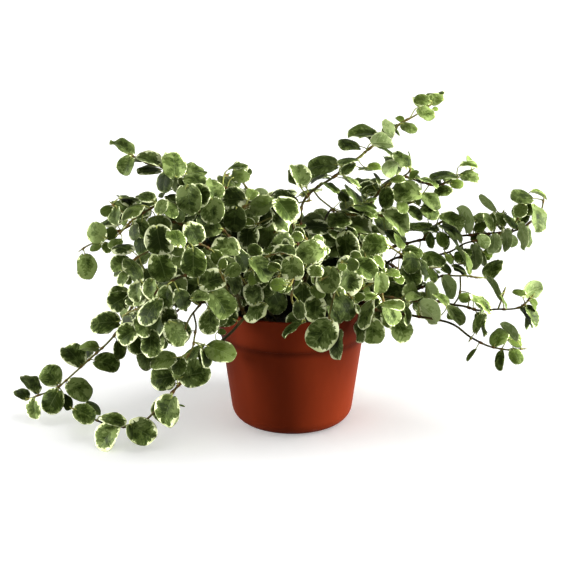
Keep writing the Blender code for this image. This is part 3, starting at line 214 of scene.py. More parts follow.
# Seen leaves, read off the photograph: across and down in its own units, the direction
# from base to tip in degrees, apparent length and width. A last number is 1 or 2 for a leaf that
# its neighbours hide, and -1 for one seen from beneath
SEEN_LEAVES = [
    # shoot at the top left, and the twig below it
    (123, 145, 130, 25, 12), (126, 166, 238, 19, 16), (148, 159, 150, 26, 14), (149, 169, 175, 22, 10, 1),
    (175, 164, 92, 27, 22), (163, 182, 250, 21, 16, 1), (197, 179, 110, 25, 21), (188, 200, 270, 28, 24),
    (126, 199, 160, 22, 16, 1), (131, 210, 200, 24, 14), (145, 196, 150, 18, 14, 1),
    (118, 214, 180, 20, 14, 1), (107, 211, 200, 13, 10), (173, 199, 60, 16, 12, 1),
    (170, 209, 330, 20, 13, 1), (157, 223, 150, 26, 20, 1), (95, 233, 150, 21, 20),
    (111, 234, 90, 13, 12, 1), (88, 267, 285, 24, 19), (107, 248, 300, 11, 9),
    # the crown's left and middle
    (122, 246, 150, 21, 15), (159, 242, 280, 30, 28), (140, 244, 260, 20, 14, 1), (163, 268, 290, 29, 26),
    (136, 268, 290, 27, 15), (120, 264, 200, 19, 15, 1), (123, 278, 240, 15, 11, 1),
    (149, 280, 300, 20, 18, 1), (193, 264, 270, 27, 25), (177, 250, 0, 14, 14, 2), (195, 233, 310, 23, 18),
    (226, 247, 200, 26, 20), (212, 211, 270, 24, 23), (234, 220, 260, 24, 21), (233, 199, 180, 24, 20),
    (214, 189, 90, 22, 18, 1), (229, 181, 100, 21, 13), (241, 175, 20, 18, 14), (238, 167, 195, 18, 5),
    (252, 194, 60, 14, 13), (262, 206, 200, 24, 17), (283, 192, 10, 24, 9), (286, 210, 310, 26, 22, 1),
    (269, 235, 270, 25, 24), (247, 237, 260, 24, 21, 1), (210, 229, 180, 20, 16, 1),
    (180, 228, 90, 22, 18, 1), (202, 244, 340, 20, 14, 1), (217, 258, 300, 14, 12, 1),
    (243, 260, 305, 24, 13), (262, 268, 320, 28, 14), (234, 284, 300, 22, 14, 1), (190, 288, 200, 26, 18, 1),
    (212, 280, 30, 26, 20, 1), (165, 298, 260, 22, 16, 1), (222, 304, 310, 30, 24), (254, 294, 100, 22, 18),
    (254, 310, 200, 25, 13), (278, 300, 300, 28, 22), (284, 251, 10, 23, 7), (292, 270, 270, 24, 22),
    (183, 301, 320, 18, 12, 2),
    # hanging over the pot's left side
    (119, 300, 200, 22, 17), (136, 292, 270, 18, 14, 1), (149, 310, 195, 28, 18), (168, 318, 280, 22, 18, 1),
    (178, 332, 350, 27, 22), (128, 334, 170, 24, 20), (144, 326, 300, 20, 15, 1), (156, 342, 270, 20, 18, 2),
    (136, 344, 300, 17, 13, 1), (120, 351, 280, 18, 13), (145, 360, 300, 18, 13, 1), (162, 358, 0, 26, 16),
    (162, 379, 260, 24, 23), (177, 372, 90, 16, 10, 1), (195, 374, 340, 28, 26), (193, 352, 70, 22, 16),
    (206, 358, 290, 17, 11, 1), (221, 350, 310, 28, 22), (209, 322, 270, 22, 20), (222, 332, 330, 8, 6, 1),
    # the two runners
    (104, 322, 180, 28, 20), (89, 347, 170, 18, 11, 1), (73, 355, 130, 26, 22), (107, 363, 350, 24, 18),
    (50, 375, 130, 23, 21), (30, 383, 125, 23, 14), (21, 393, 130, 16, 12), (33, 410, 265, 20, 16),
    (52, 402, 240, 24, 22), (68, 402, 300, 15, 10, 1), (80, 389, 330, 26, 22), (85, 414, 300, 22, 18),
    (95, 407, 340, 20, 9, 1), (114, 418, 355, 24, 12), (106, 436, 260, 28, 22), (142, 432, 330, 28, 26),
    (165, 412, 280, 31, 26), (181, 405, 0, 8, 2),
    # shoot at the top right
    (436, 97, 60, 17, 15), (420, 102, 120, 16, 12), (426, 113, 290, 17, 14), (436, 109, 20, 6, 5, 1),
    (409, 127, 300, 15, 11), (400, 119, 130, 9, 7), (390, 128, 120, 18, 10, -1), (398, 132, 315, 9, 3),
    (383, 142, 330, 21, 14, -1), (362, 132, 172, 27, 15), (350, 144, 165, 20, 10), (348, 158, 175, 22, 5),
    (347, 167, 100, 17, 12), (322, 164, 175, 29, 20), (300, 174, 110, 22, 17), (317, 177, 175, 20, 6, 1),
    (310, 189, 35, 22, 8), (370, 167, 5, 21, 6), (389, 169, 290, 18, 13, -1), (403, 159, 160, 21, 15),
    (344, 194, 170, 15, 12), (356, 192, 290, 20, 8), (352, 180, 340, 17, 5), (366, 186, 20, 16, 7),
    (378, 178, 30, 15, 9), (364, 194, 80, 12, 7, 1),
    # shoots going right, upper
    (384, 198, 260, 20, 15), (407, 192, 170, 27, 21), (428, 181, 345, 20, 6), (443, 174, 175, 25, 11),
    (443, 190, 190, 17, 11), (457, 184, 0, 13, 10), (469, 165, 5, 17, 7), (470, 176, 355, 18, 13),
    (431, 200, 320, 22, 15, 1), (416, 212, 330, 18, 12, 1), (431, 211, 340, 19, 14), (398, 221, 325, 30, 20),
    (427, 227, 340, 21, 13), (368, 213, 350, 16, 6, 1), (368, 205, 0, 15, 5, 1), (359, 225, 350, 28, 17),
    (339, 219, 175, 22, 14, 1), (315, 225, 165, 28, 17), (336, 234, 340, 14, 8, 1),
    (452, 220, 300, 22, 15, 1), (467, 219, 275, 27, 11, -1), (481, 216, 40, 17, 11, 1),
    (490, 202, 125, 21, 7, -1), (490, 223, 275, 18, 9), (502, 220, 90, 19, 13, 1), (512, 220, 300, 20, 8),
    (522, 197, 170, 21, 13), (540, 194, 335, 20, 6), (521, 211, 240, 14, 13), (537, 218, 280, 25, 17),
    (526, 237, 290, 26, 11, -1), (508, 242, 280, 21, 12, -1), (495, 246, 270, 20, 13, -1),
    (484, 242, 310, 15, 11, -1), (477, 258, 280, 25, 13, -1), (466, 256, 290, 19, 10, 1),
    (493, 267, 75, 22, 18), (488, 254, 60, 10, 7, 1), (460, 269, 340, 16, 6), (469, 269, 270, 10, 6),
    (429, 241, 270, 14, 8, 1), (445, 242, 280, 15, 8, 1),
    # the crown's right
    (375, 243, 170, 25, 20), (345, 248, 270, 29, 21), (310, 251, 190, 25, 22), (328, 240, 330, 15, 11, 1),
    (392, 236, 320, 16, 10, 1), (413, 251, 355, 19, 9, 1), (413, 263, 290, 21, 16), (434, 256, 350, 22, 14),
    (450, 259, 315, 11, 7, 1), (447, 268, 320, 14, 8), (411, 275, 300, 22, 19), (393, 274, 0, 14, 8, 1),
    (380, 261, 315, 14, 8, 1), (365, 269, 330, 23, 19), (381, 284, 280, 20, 15, 1), (394, 291, 185, 26, 17),
    (370, 296, 355, 22, 8), (350, 282, 280, 29, 21), (328, 280, 260, 24, 20), (329, 267, 10, 21, 12, 1),
    (301, 295, 260, 22, 17), (318, 292, 330, 15, 12, 1), (315, 310, 260, 24, 22), (298, 311, 270, 18, 11, 1),
    (337, 310, 300, 24, 14, 1), (347, 306, 310, 27, 19), (365, 314, 245, 28, 12), (357, 328, 260, 26, 10),
    (392, 315, 300, 21, 18, 1), (407, 314, 295, 24, 9), (402, 330, 300, 24, 21), (372, 333, 270, 25, 22),
    (392, 304, 0, 20, 7, 1), (417, 297, 25, 19, 9), (431, 294, 290, 19, 12, -1), (451, 287, 305, 23, 13, -1),
    (431, 311, 325, 25, 13, -1), (454, 313, 310, 23, 9), (465, 298, 180, 12, 9), (482, 302, 325, 24, 10),
    (477, 323, 255, 26, 11, -1), (498, 286, 285, 26, 7, -1), (532, 290, 320, 20, 15, -1),
    (520, 292, 150, 13, 8), (534, 303, 315, 9, 7), (529, 316, 310, 22, 12), (528, 324, 280, 13, 7, 1),
    (504, 302, 300, 13, 4), (499, 336, 65, 21, 15), (511, 331, 120, 21, 9, -1), (516, 342, 300, 12, 8),
    (516, 356, 260, 15, 13), (498, 360, 250, 18, 9), (470, 354, 218, 14, 4),
    # hanging over the pot's front
    (322, 335, 190, 32, 26), (334, 347, 245, 26, 12, 1), (292, 327, 205, 25, 9),
]

# Bending a stem clear: rounds, share of a push taken up, room from the pot, how near the rim it is
# lifted rather than pushed out, and by how much
BEND_ROUNDS, BEND_SHARE, STEM_SPARE, RIM_ZONE, RIM_LIFT = 90, 0.6, 2.2, 10.0, 2.0
# Sides of a stem's and of the pot's search trees, and the leaves' room from the pot
TUBE_SIDES, RING_SIDES, POT_SPARE = 6, 48, 0.5
# Seen leaves: reaches within which they look for a stem, places tried, and the best one's petiole as
# shown and distance from the eye
SEEN_REACHES, SPOTS_TRIED, PETIOLE_SHOWN, MIDDLE_DEPTH = (15, 21), 30, 6, 750
BROAD_LEAF_TURNS = (0, 35, -35, 70, -70, 180, 110, -110, 145, -145)
NARROW_LEAF_TURNS = (0, 12, -12, 180)
# The pot in the picture: top, foot, middle, half its width at the rim, and how fast that narrows
POT_PICTURE = (318, 425, 292, 72, 0.12)


def layered(rows):
    """Rows of seen leaves, with a last number of 0 where the table has none."""
    return [(*row, 0)[:6] for row in rows]


def reach_along(line):
    """How far along the line each of its points is."""
    reach = [0.0]
    for a, b in zip(line, line[1:]):
        reach.append(reach[-1] + (b - a).length)
    return reach


def smooth_line(points, step, lead=None):
    """Places about `step` apart along a smooth line through the points."""
    pts = [Vector(p) for p in points]
    ends = [lead or pts[0] * 2 - pts[1]] + pts + [pts[-1] * 2 - pts[-2]]
    fine = []
    for a, b, c, d in zip(ends, ends[1:], ends[2:], ends[3:]):
        for k in range(16):
            t = k / 16
            fine.append(0.5 * (2 * b + (c - a) * t + (2 * a - 5 * b + 4 * c - d) * t * t
                               + (3 * b - a - 3 * c + d) * t ** 3))
    fine.append(pts[-1])
    reach = reach_along(fine)
    count = max(2, round(reach[-1] / step))
    out, k = [], 0
    for i in range(count + 1):
        want = reach[-1] * i / count
        while k < len(reach) - 2 and reach[k + 1] < want:
            k += 1
        out.append(fine[k].lerp(fine[k + 1], (want - reach[k]) / max(1e-9, reach[k + 1] - reach[k])))
    return out


def samples(line):
    """Five places on each length of the line."""
    return [tuple(a.lerp(b, t)) for a, b in zip(line, line[1:]) for t in (0, 0.2, 0.4, 0.6, 0.8)]


def view(p):
    """Across, down and depth of a place as the photograph shows it."""
    q = p - EYE
    depth = q.dot(VIEW_AHEAD)
    return CENTRE + FOCUS * q.x / depth, CENTRE - FOCUS * q.dot(VIEW_UP) / depth, depth


def unview(across, down, depth):
    """The place that the photograph shows there, at that depth."""
    aside = (Vector((across - CENTRE, 0, 0)) + VIEW_UP * (CENTRE - down)) * depth / FOCUS
    return EYE + aside + VIEW_AHEAD * depth


def over_pot(u, v):
    """Whether this place of the picture lies on the pot."""
    top, foot, middle, half, narrowing = POT_PICTURE
    return top < v < foot and abs(u - middle) < half - (v - top) * narrowing


def outward(p):
    """The level direction from the pot's axis to a place."""
    return Vector((p.x, p.y, 0)).normalized()


def body_radius(z):
    """The pot's outer radius at a height, without its band."""
    return POT_FOOT_RADIUS + (POT_MOUTH_RADIUS - BAND_STEP - POT_FOOT_RADIUS) * z / POT_HEIGHT


def pot_push(p, spare):
    """How far to move a point so that it clears the pot and the table."""
    push = Vector((0, 0, max(0.0, spare + 0.2 - p.z)))
    r = math.hypot(p.x, p.y)
    outer, inner = body_radius(p.z) + BAND_STEP + spare, body_radius(p.z) - POT_WALL - spare
    if p.z < POT_HEIGHT + spare and inner < r < outer:
        if p.z > POT_HEIGHT - RIM_ZONE:
            push.z += min(RIM_LIFT, POT_HEIGHT + spare - p.z)
        else:
            push += Vector((p.x, p.y, 0)) / r * (outer - r)
    return push


def bend_clear(line, others, first):
    """Bend a line clear of the pot and of earlier stems, past its first points."""
    for _ in range(BEND_ROUNDS):
        shift = [Vector() for _ in line]
        moved = False
        for k in range(first, len(line) - 1):
            for t in (0.0, 0.25, 0.5, 0.75, 1.0):
                p = line[k].lerp(line[k + 1], t)
                push = pot_push(p, STEM_SPARE)
                if len(others):
                    near = int(((others - np.array(p)) ** 2).sum(1).argmin())
                    away = p - Vector(others[near])
                    short = STEM_APART - away.length
                    if short > 0:
                        push += away.normalized() * short
                if push.length > 1e-3:
                    moved = True
                    for i, share in ((k, 1 - t), (k + 1, t)):
                        if i >= first and share and push.length * share > shift[i].length:
                            shift[i] = push * share * BEND_SHARE
        if not moved:
            break
        for i, s in enumerate(shift):
            line[i] = line[i] + s
    return line


class Leaf:
    """One leaf: where its petiole and blade start, its direction, upper side and sizes."""

    def __init__(self, start, base, along, up, long, wide, bend):
        self.start, self.base, self.along, self.up = start, base, along, up
        self.long, self.wide, self.bend = long, wide, bend
        self.side = up.cross(along)

    def spine(self, u):
        """Middle of the blade and its upper side's direction, u of the way along."""
        turn = self.bend * u
        reach = self.long / self.bend
        return (self.base + self.along * (reach * math.sin(turn)) - self.up * (reach * (1 - math.cos(turn))),
                self.up * math.cos(turn) + self.along * math.sin(turn))

    def corners(self):
        """The blade's middle, tip, right edge and left edge."""
        middle, half = self.spine(0.5)[0], self.side * self.wide / 2
        return middle, self.spine(1.0)[0], middle + half, middle - half

    def strip(self):
        """The blade as rows of (middle, up, half width), a little enlarged."""
        out = []
        for u, half in LEAF_ROWS:
            middle, up = self.spine(u * (1 + LEAF_SPARE / self.long))
            out.append((middle, up, half * self.wide / 2 + LEAF_SPARE))
        return out


def ring_faces(rings, sides):
    """Quads from each ring of points to the next."""
    faces = []
    for i in range(rings - 1):
        for k in range(sides):
            a, b = sides * i + k, sides * i + (k + 1) % sides
            faces.append((a, b, b + sides, a + sides))
    return faces


def strip_points(rows, side):
    """Four points round each row of a leaf's blade, above and below it."""
    lift = LEAF_THICK / 2 + LEAF_SPARE
    return [middle + side * (right * half) + up * (above * lift)
            for middle, up, half in rows for right, above in ((-1, 1), (1, 1), (1, -1), (-1, -1))]


def strip_tree(points):
    """Search tree of a closed strip, from its rows' points."""
    last = len(points) - 4
    faces = ring_faces(len(points) // 4, 4) + [(0, 1, 2, 3), tuple(last + j for j in (3, 2, 1, 0))]
    return BVHTree.FromPolygons(points, faces)


def tube_tree(line, radius):
    """Search tree of a tube along the line."""
    points = []
    for i, p in enumerate(line):
        t = (line[min(i + 1, len(line) - 1)] - line[max(i - 1, 0)]).normalized()
        a = t.orthogonal().normalized()
        b = t.cross(a)
        for k in range(TUBE_SIDES):
            w = math.tau * k / TUBE_SIDES
            points.append(p + (a * math.cos(w) + b * math.sin(w)) * radius)
    return BVHTree.FromPolygons(points, ring_faces(len(line), TUBE_SIDES))


def pot_tree():
    """Search tree of the pot and the soil's top, a little enlarged."""
    rings = [(body_radius(0) - 12, -1), (body_radius(12) + POT_SPARE, 12), (body_radius(70) + POT_SPARE, 70),
             (body_radius(71) + BAND_STEP + POT_SPARE, 71),
             (POT_MOUTH_RADIUS + POT_SPARE, POT_HEIGHT + POT_SPARE),
             (POT_MOUTH_RADIUS - BAND_STEP - POT_WALL - POT_SPARE, POT_HEIGHT + POT_SPARE),
             (body_radius(SOIL_TOP) - POT_WALL - POT_SPARE, SOIL_TOP + 1.5), (0.5, SOIL_TOP + 3.5)]
    turns = [math.tau * k / RING_SIDES for k in range(RING_SIDES)]
    points = [(r * math.cos(w), r * math.sin(w), z) for r, z in rings for w in turns]
    return BVHTree.FromPolygons(points, ring_faces(len(rings), RING_SIDES))


class Plant:
    """The growth rule: where every stem runs and where every leaf stands."""

    # Longest petiole, and how far it may lean aside and back
    stalk_most, aside_most, inline_least = 14, 0.78, 0.25

    def __init__(self):
        self.pot = pot_tree()
        self.lines, self.leaves, self.trees, self.seen = [], [], [], []

    def others(self, apart=0, root=None):
        """Places on the stems so far, those near a root left out."""
        return np.array([p for entry in self.lines for p in samples(entry["line"])
                         if root is None or (Vector(p) - root).length > apart])

    def stem(self, name, root, points, bare, facing):
        """Add a stem that stands in the soil."""
        foot = Vector((root[0], root[1], SOIL_TOP + 3))
        line = [Vector((root[0], root[1], SOIL_TOP - HOLE_DEPTH + 0.4))]
        step = STEM_STEP * (1.2 if name[:5] in ("crown", "back_") else 1)
        line += smooth_line([foot] + [Vector(p) for p in points], step, foot - Vector((0, 0, 14)))
        self.add(name, bend_clear(line, self.others(), 2), bare, facing, None)

    def twig(self, name, start, points, facing):
        """Add a side twig to the stem of that name."""
        stem = next(l for l in self.lines if l["name"] == name and l["parent"] is None)["line"]
        k = min(range(2, len(stem) - 1), key=lambda i: (stem[i] - Vector(start)).length)
        off = stem[k] - Vector(start)
        line = smooth_line([stem[k]] + [Vector(p) + off for p in points], STEM_STEP * 0.8)
        self.add(name, bend_clear(line, self.others(9, stem[k]), 2), 7, facing, k)

    def add(self, name, line, bare, facing, parent):
        """Take up a stem or twig."""
        middle = sum(line, Vector()) / len(line)
        reach = max((p - middle).length for p in line) + 3
        entry = {"name": name, "line": line, "bare": bare, "facing": Vector(facing), "parent": parent,
                 "used": []}
        self.trees.append((middle, reach, tube_tree(line, STEM_ROOT_RADIUS), entry))
        self.lines.append(entry)

    def spots(self):
        """Places where a petiole can start, and where the picture has them."""
        out = []
        for entry in self.lines:
            line = entry["line"]
            for a, b, reach in zip(line, line[1:], reach_along(line)):
                for t in (0.1, 0.3, 0.5, 0.7, 0.9):
                    p = a.lerp(b, t)
                    if p.z > SOIL_TOP + 14 or math.hypot(p.x, p.y) > 62:
                        out.append((entry, p, reach + (b - a).length * t) + view(p))
        return out

    def seen_leaf(self, row, spots, rng):
        """Place a seen leaf, turned in its own outline if it must be."""
        turns = BROAD_LEAF_TURNS if row[4] > 0.63 * row[3] else NARROW_LEAF_TURNS
        return any(self.seen_try((*row[:2], row[2] + turn, *row[3:]), spots, rng, reach)
                   for reach in SEEN_REACHES for turn in turns)

    def seen_try(self, row, spots, rng, limit):
        """Place a seen leaf on the stem that suits it best."""
        across, down, angle, long, wide, layer = row
        w = math.radians(angle)
        lean = (math.cos(w), math.sin(w))
        base = (across - lean[0] * long / 2, down + lean[1] * long / 2)
        flat = Vector((lean[0], 0, 0)) + VIEW_UP * lean[1]
        found = []
        for spot in spots:
            du, dv = spot[3] - base[0], base[1] - spot[4]
            back = -(du * lean[0] + dv * lean[1])
            aside = abs(dv * lean[0] - du * lean[1])
            if math.hypot(du, dv) < limit and back > 0.5:
                score = math.hypot(back - PETIOLE_SHOWN, aside) + (spot[5] - MIDDLE_DEPTH) * 0.07
                found.append((score, spot))
        found.sort(key=lambda f: f[0])
        size, order = (long + wide) / 4, max(0, layer)
        tries = itertools.product((1.0, 0.92, 0.84), found[:SPOTS_TRIED], (0, 3, -3, 6, 10))
        for shrink, (_, (entry, p, at, _, _, depth)), nearer in tries:
            scale = (depth - nearer) / FOCUS
            tilt = rng.uniform(0.05, 0.5)
            true_long = max(long * scale, min(21.0, long * scale / math.cos(tilt))) * shrink
            tilt = math.acos(min(1.0, long * scale * shrink / true_long))
            true_wide = max(true_long * (0.93 if true_long > 12 else 0.84), wide * scale * shrink)
            roll = min(1.4, math.acos(min(1.0, wide * scale * shrink / true_wide)))
            tilt *= (-1 if lean[1] < 0.3 else 1) * (1 if shrink > 0.9 else rng.choice((-1, 1)))
            along = flat * math.cos(tilt) + VIEW_AHEAD * math.sin(tilt)
            face = VIEW_AHEAD * -math.cos(tilt) + flat * math.sin(tilt)
            if layer < 0:
                face = -face
            cross = face.cross(along)
            up = max((face * math.cos(roll) + cross * math.sin(roll) * s for s in (-1, 1)), key=lambda n: n.z)
            start = unview(*base, depth - nearer) + flat * (long * scale * (1 - shrink) / 2)
            leaf = Leaf(p, start, along, up, true_long, true_wide, rng.uniform(0.3, 0.6))
            far = view(leaf.spine(0.5)[0])[2]
            if not self.petiole_fits(leaf) or self.under_seen(across, down, far, size, order, 0.8):
                continue
            if self.take(entry, leaf, true_long * 0.62 + 8, true_long > 12.5, min(1.0, true_long / 18)):
                self.seen.append((across, down, size, order, far))
                entry["used"].append(at)
                return True
        return False

    def petiole_fits(self, leaf):
        """Whether a leaf's petiole is as a real one could be."""
        stalk = leaf.base - leaf.start
        aside = stalk.dot(leaf.side)
        inline = stalk - leaf.side * aside
        return (1.5 < stalk.length < self.stalk_most and abs(aside) <= self.aside_most * stalk.length
                and inline.dot(leaf.along) >= self.inline_least * inline.length)

    def under_seen(self, u, v, depth, size, order, share):
        """Whether a leaf here would cover a seen leaf that should lie in front."""
        return any(layer < order and depth < far + 2 and math.hypot(a - u, d - v) < share * (size + other)
                   for a, d, other, layer, far in self.seen)

    def behind_seen(self, u, v, depth, share, loose):
        """Whether this place lies behind a seen leaf."""
        return any(depth > far + 1 and math.hypot(a - u, d - v) < size * share + loose
                   for a, d, size, _, far in self.seen)

    def hidden(self, leaf):
        """Whether the seen leaves hide this one from the front."""
        for p in leaf.corners():
            u, v, depth = view(p)
            loose = 5 if p.y > 0 and 120 < u < 400 else 1
            if not (p.y > 0 and over_pot(u, v) or self.behind_seen(u, v, depth, 0.95, loose)):
                return False
        return True

    def take(self, stem, leaf, reach, fine, age):
        """Take up a leaf, with its reach, if it clears what stands so far."""
        blade = leaf.strip()
        points = strip_points(blade, leaf.side)
        if min(v.z for v in points) < LEAF_LOWEST:
            return False
        tree = strip_tree(points)
        petiole = (leaf.start.lerp(leaf.base, 0.45), leaf.up, 0.6 + LEAF_SPARE)
        whole = strip_tree(strip_points([petiole] + blade, leaf.side))
        if whole.overlap(self.pot):
            return False
        middle = leaf.spine(0.4)[0]
        for centre, room, other, entry in self.trees:
            if (centre - middle).length < room + leaf.long + 2:
                if (tree if entry is stem else whole).overlap(other):
                    return False
        self.trees.append((middle, reach, whole, None))
        self.leaves.append((stem, leaf, fine, age))
        return True

    def leafy(self, entry, rng):
        """Alternate leaves in two ranks along a stem, smaller toward the tip."""
        line = entry["line"]
        reach = reach_along(line)
        total, at, places = reach[-1], entry["bare"], []
        while at < total - 3:
            places.append(at)
            at += LEAF_SPACING * rng.uniform(0.85, 1.15)
        places.append(total - 0.6)
        sign = rng.choice((-1, 1))
        for n, at in enumerate(places):
            if any(abs(at - u) < 6 for u in entry["used"]):
                continue
            k = min(max(i for i in range(len(reach)) if reach[i] <= at), len(line) - 2)
            p = line[k].lerp(line[k + 1], (at - reach[k]) / (reach[k + 1] - reach[k]))
            ahead = (line[min(k + 2, len(line) - 1)] - line[max(k - 1, 0)]).normalized()
            left = len(places) - 1 - n
            age = min(1.0, 0.48 + 0.15 * left)
            sign = -sign
            draws = [[rng.gauss(0, 1) for _ in range(6)] for _ in range(TRIES)]
            for k, d in enumerate(draws):
                spread = 0.35 + 0.09 * k
                light = entry["facing"] + outward(p) * 0.45
                light = (light + Vector(d[0:3]) * 0.45 * spread).normalized()
                out = ahead.cross(light).normalized() * sign
                forward = 0.55 + 0.35 * d[3] * spread if left else 1.35
                along = (out * math.cos(forward) + ahead * math.sin(forward)).normalized()
                along = (along - Vector((0, 0, 0.22)) + out * 0.1 * d[5]).normalized()
                long = LEAF_LONG * age * (1 + 0.07 * d[4]) * (1 - 0.018 * k)
                stalk = petiole_of(along, light, out, age) if left else along * 2.6
                leaf = Leaf(p, p + stalk, along, upper_side(light, along), long,
                            long * (0.80 + 0.16 * age), 0.35 + 0.25 * abs(d[5]))
                if self.hidden(leaf) and self.take(entry, leaf, long * 0.62 + PETIOLE + 1, False, age):
                    break


def upper_side(light, along):
    """The upper side of a leaf that runs that way and turns to the light."""
    return (light - along * light.dot(along)).normalized()


def petiole_of(along, light, out, age):
    """A petiole's run, by the leaf's direction, the light's and its side."""
    return (along + light * 0.35 + out * 0.3).normalized() * PETIOLE * (0.55 + 0.45 * age)


def back_points(k, angle, root, crest, high, tip, low):
    """Where a back stem runs: out over its crest, then down to its tip."""
    rng = random.Random(SEED * 7 + k)
    points = []
    for t in (0.3, 0.62, 1.0, 1.35, 1.7, 2.0):
        if t <= 1:
            r, z = root + (crest - root) * t, SOIL_TOP + (high - SOIL_TOP) * math.sin(t * math.pi / 2)
        else:
            r, z = crest + (tip - crest) * (t - 1) ** 0.8, high + (low - high) * (t - 1) ** 1.6
        turn = angle + rng.uniform(-0.1, 0.1) * t
        points.append((r * math.cos(turn), r * math.sin(turn), max(z, 101) if r < 66 else z))
    return points


def grow(plant):
    """Grow the plant that the packed solids have."""
    for row in STEMS:
        plant.stem(*row)
    for k, (name, angle, root, *sizes) in enumerate(BACK_STEMS):
        w = math.radians(angle)
        away = Vector((math.cos(w), math.sin(w), 0))
        plant.stem(name, (root * math.cos(w), root * math.sin(w)), back_points(k, w, root, *sizes), 32,
                   Vector(BACK) + away * 0.5)
    for row in TWIGS:
        plant.twig(*row)
    spots = plant.spots()
    rows = sorted(layered(SEEN_LEAVES), key=lambda row: max(0, row[5]))
    plant.missed = [row for k, row in enumerate(rows)
                    if not plant.seen_leaf(row, spots, random.Random(SEED * 100 + k))]
    for k, entry in enumerate(plant.lines):
        plant.leafy(entry, random.Random(SEED * 1000 + k))

# Outline of the crown where the photograph has no gaps
DENSE_CROWN = [
    (112, 212), (122, 202), (158, 196), (161, 182), (173, 174), (190, 182), (236, 186), (248, 198),
    (298, 199), (296, 222), (345, 218), (352, 188), (366, 181), (430, 185), (438, 200), (432, 215),
    (368, 218), (366, 238), (392, 240), (384, 256), (388, 270), (430, 282), (428, 312), (366, 304),
    (350, 318), (240, 312), (232, 300), (200, 296), (178, 300), (178, 325), (190, 333), (186, 342),
    (160, 350), (140, 348), (118, 332), (122, 245),
]

# More seen leaves, which the solids leave out
MORE_SEEN = [
    (422, 101, 215, 15, 12), (390, 131, 110, 18, 12), (397, 133, -40, 8, 4), (238, 167, 195, 18, 7),
    (232, 179, 120, 17, 12, 1), (374, 167, 190, 13, 8), (427, 226, -20, 19, 11, 1),
    (443, 240, -60, 15, 12, 1), (502, 219, 95, 18, 14, 1), (463, 254, 70, 17, 12, 1),
    (364, 194, 80, 14, 9, 1), (413, 251, 10, 19, 12, 1), (478, 238, 170, 17, 12, 1),
    (462, 270, -25, 17, 8, 1), (430, 209, 40, 17, 15), (405, 225, -30, 24, 17, 1), (386, 172, 60, 16, 12, 1),
    (398, 184, 20, 18, 9, 1), (124, 205, 190, 23, 19, 1), (146, 200, 160, 18, 15, 1),
    (160, 206, 80, 17, 13, 1), (140, 214, 200, 18, 13, 1), (177, 236, 60, 20, 18, 1),
    (177, 286, 250, 20, 18, 1), (157, 327, 250, 21, 18, 1), (142, 344, 230, 17, 15, 1),
    (178, 366, 250, 17, 14, 1), (186, 272, 300, 22, 18, 1), (197, 172, 120, 19, 16, 1),
    (298, 176, 100, 20, 16, 1), (318, 176, 20, 19, 9, 1), (131, 268, 90, 22, 13, 1),
    (118, 296, 240, 20, 15, 1), (205, 352, 280, 16, 12, 1), (158, 318, 200, 24, 18, 1),
    (150, 290, 260, 20, 16, 1), (419, 104, 70, 18, 10, 1), (344, 194, 175, 15, 11, 1),
    (355, 194, -75, 24, 9), (361, 196, 90, 18, 9, 1), (372, 181, 28, 26, 12, 1), (378, 178, 100, 12, 6),
    (353, 181, -28, 17, 6), (372, 191, 20, 10, 6, 1), (371, 199, 30, 12, 5, 1), (398, 180, 15, 14, 7, 1),
    (418, 212, -20, 20, 12, 1), (364, 207, -8, 24, 6), (368, 212, -30, 18, 7, 1), (352, 211, 2, 19, 4),
    (300, 174, 95, 24, 18), (107, 210, 200, 14, 9), (116, 216, 230, 16, 12, 1), (170, 204, 60, 20, 12, 1),
    (197, 180, 100, 24, 19, 1), (183, 299, -60, 20, 16, 1), (121, 352, -70, 20, 13, 1),
    (137, 345, -10, 18, 13, 1), (152, 343, -80, 24, 20, 1), (145, 361, -60, 18, 13, 1),
    (206, 358, -70, 18, 12, 1), (181, 371, -70, 18, 12, 1), (466, 257, 100, 24, 10),
    (487, 254, 75, 12, 8, 1), (452, 231, -25, 26, 10, 1), (424, 270, -65, 22, 10, 1),
    (490, 222, 100, 17, 10), (480, 226, 60, 14, 9, 1), (532, 316, -58, 22, 12), (527, 322, -62, 20, 9, 1),
    (477, 323, -103, 24, 10), (456, 241, -35, 18, 7, 1), (512, 220, -60, 20, 9, 1),
    (425, 227, 160, 22, 10, 1), (142, 258, 250, 18, 13, 1), (419, 223, 25, 26, 12, 1),
    (386, 180, 60, 22, 10, 1), (319, 177, 10, 22, 9, 1), (352, 181, 335, 16, 7, 1),
    (386, 150, 340, 20, 7, 1), (195, 170, 60, 22, 20, 1), (384, 222, 100, 24, 18, 1),
    (480, 260, 90, 22, 13, 1), (383, 176, 80, 15, 12, 1), (129, 197, 10, 20, 9, 1), (414, 175, 60, 11, 6, 1),
    (434, 94, 60, 20, 16), (401, 240, 90, 16, 12, 1), (115, 243, 200, 14, 10, 1), (331, 186, 340, 18, 5, 1),
    (442, 298, 120, 16, 11, 1), (433, 275, 90, 14, 10, 1), (95, 247, 200, 12, 9, 1),
    (200, 297, 10, 18, 10, 1), (530, 237, 100, 22, 12, 1), (335, 345, 255, 28, 14), (321, 335, 190, 33, 29),
]
# Gaps of the picture (left, top, right, bottom) that are kept free of unseen leaves
OPEN_SKY = [(302, 190, 348, 217), (376, 226, 390, 236)]

# Petioles of these leaves: longest, and how far one may lean aside and back
LATE_PETIOLES = (19, 1.1, -1.1)
# A leaf's double is tried this far in front of the stem that would run over it
DOUBLE_LIFTS = (3, 5, 7, 9, 12, 15, 18)
SLIMMEST = 0.6
# Side twigs: places tried, length of one step, the square of their room from stems, and lowest height
TWIG_TRIES, TWIG_STEP, TWIG_GAP, TWIG_LOWEST = 14, 8.5, 30, 20


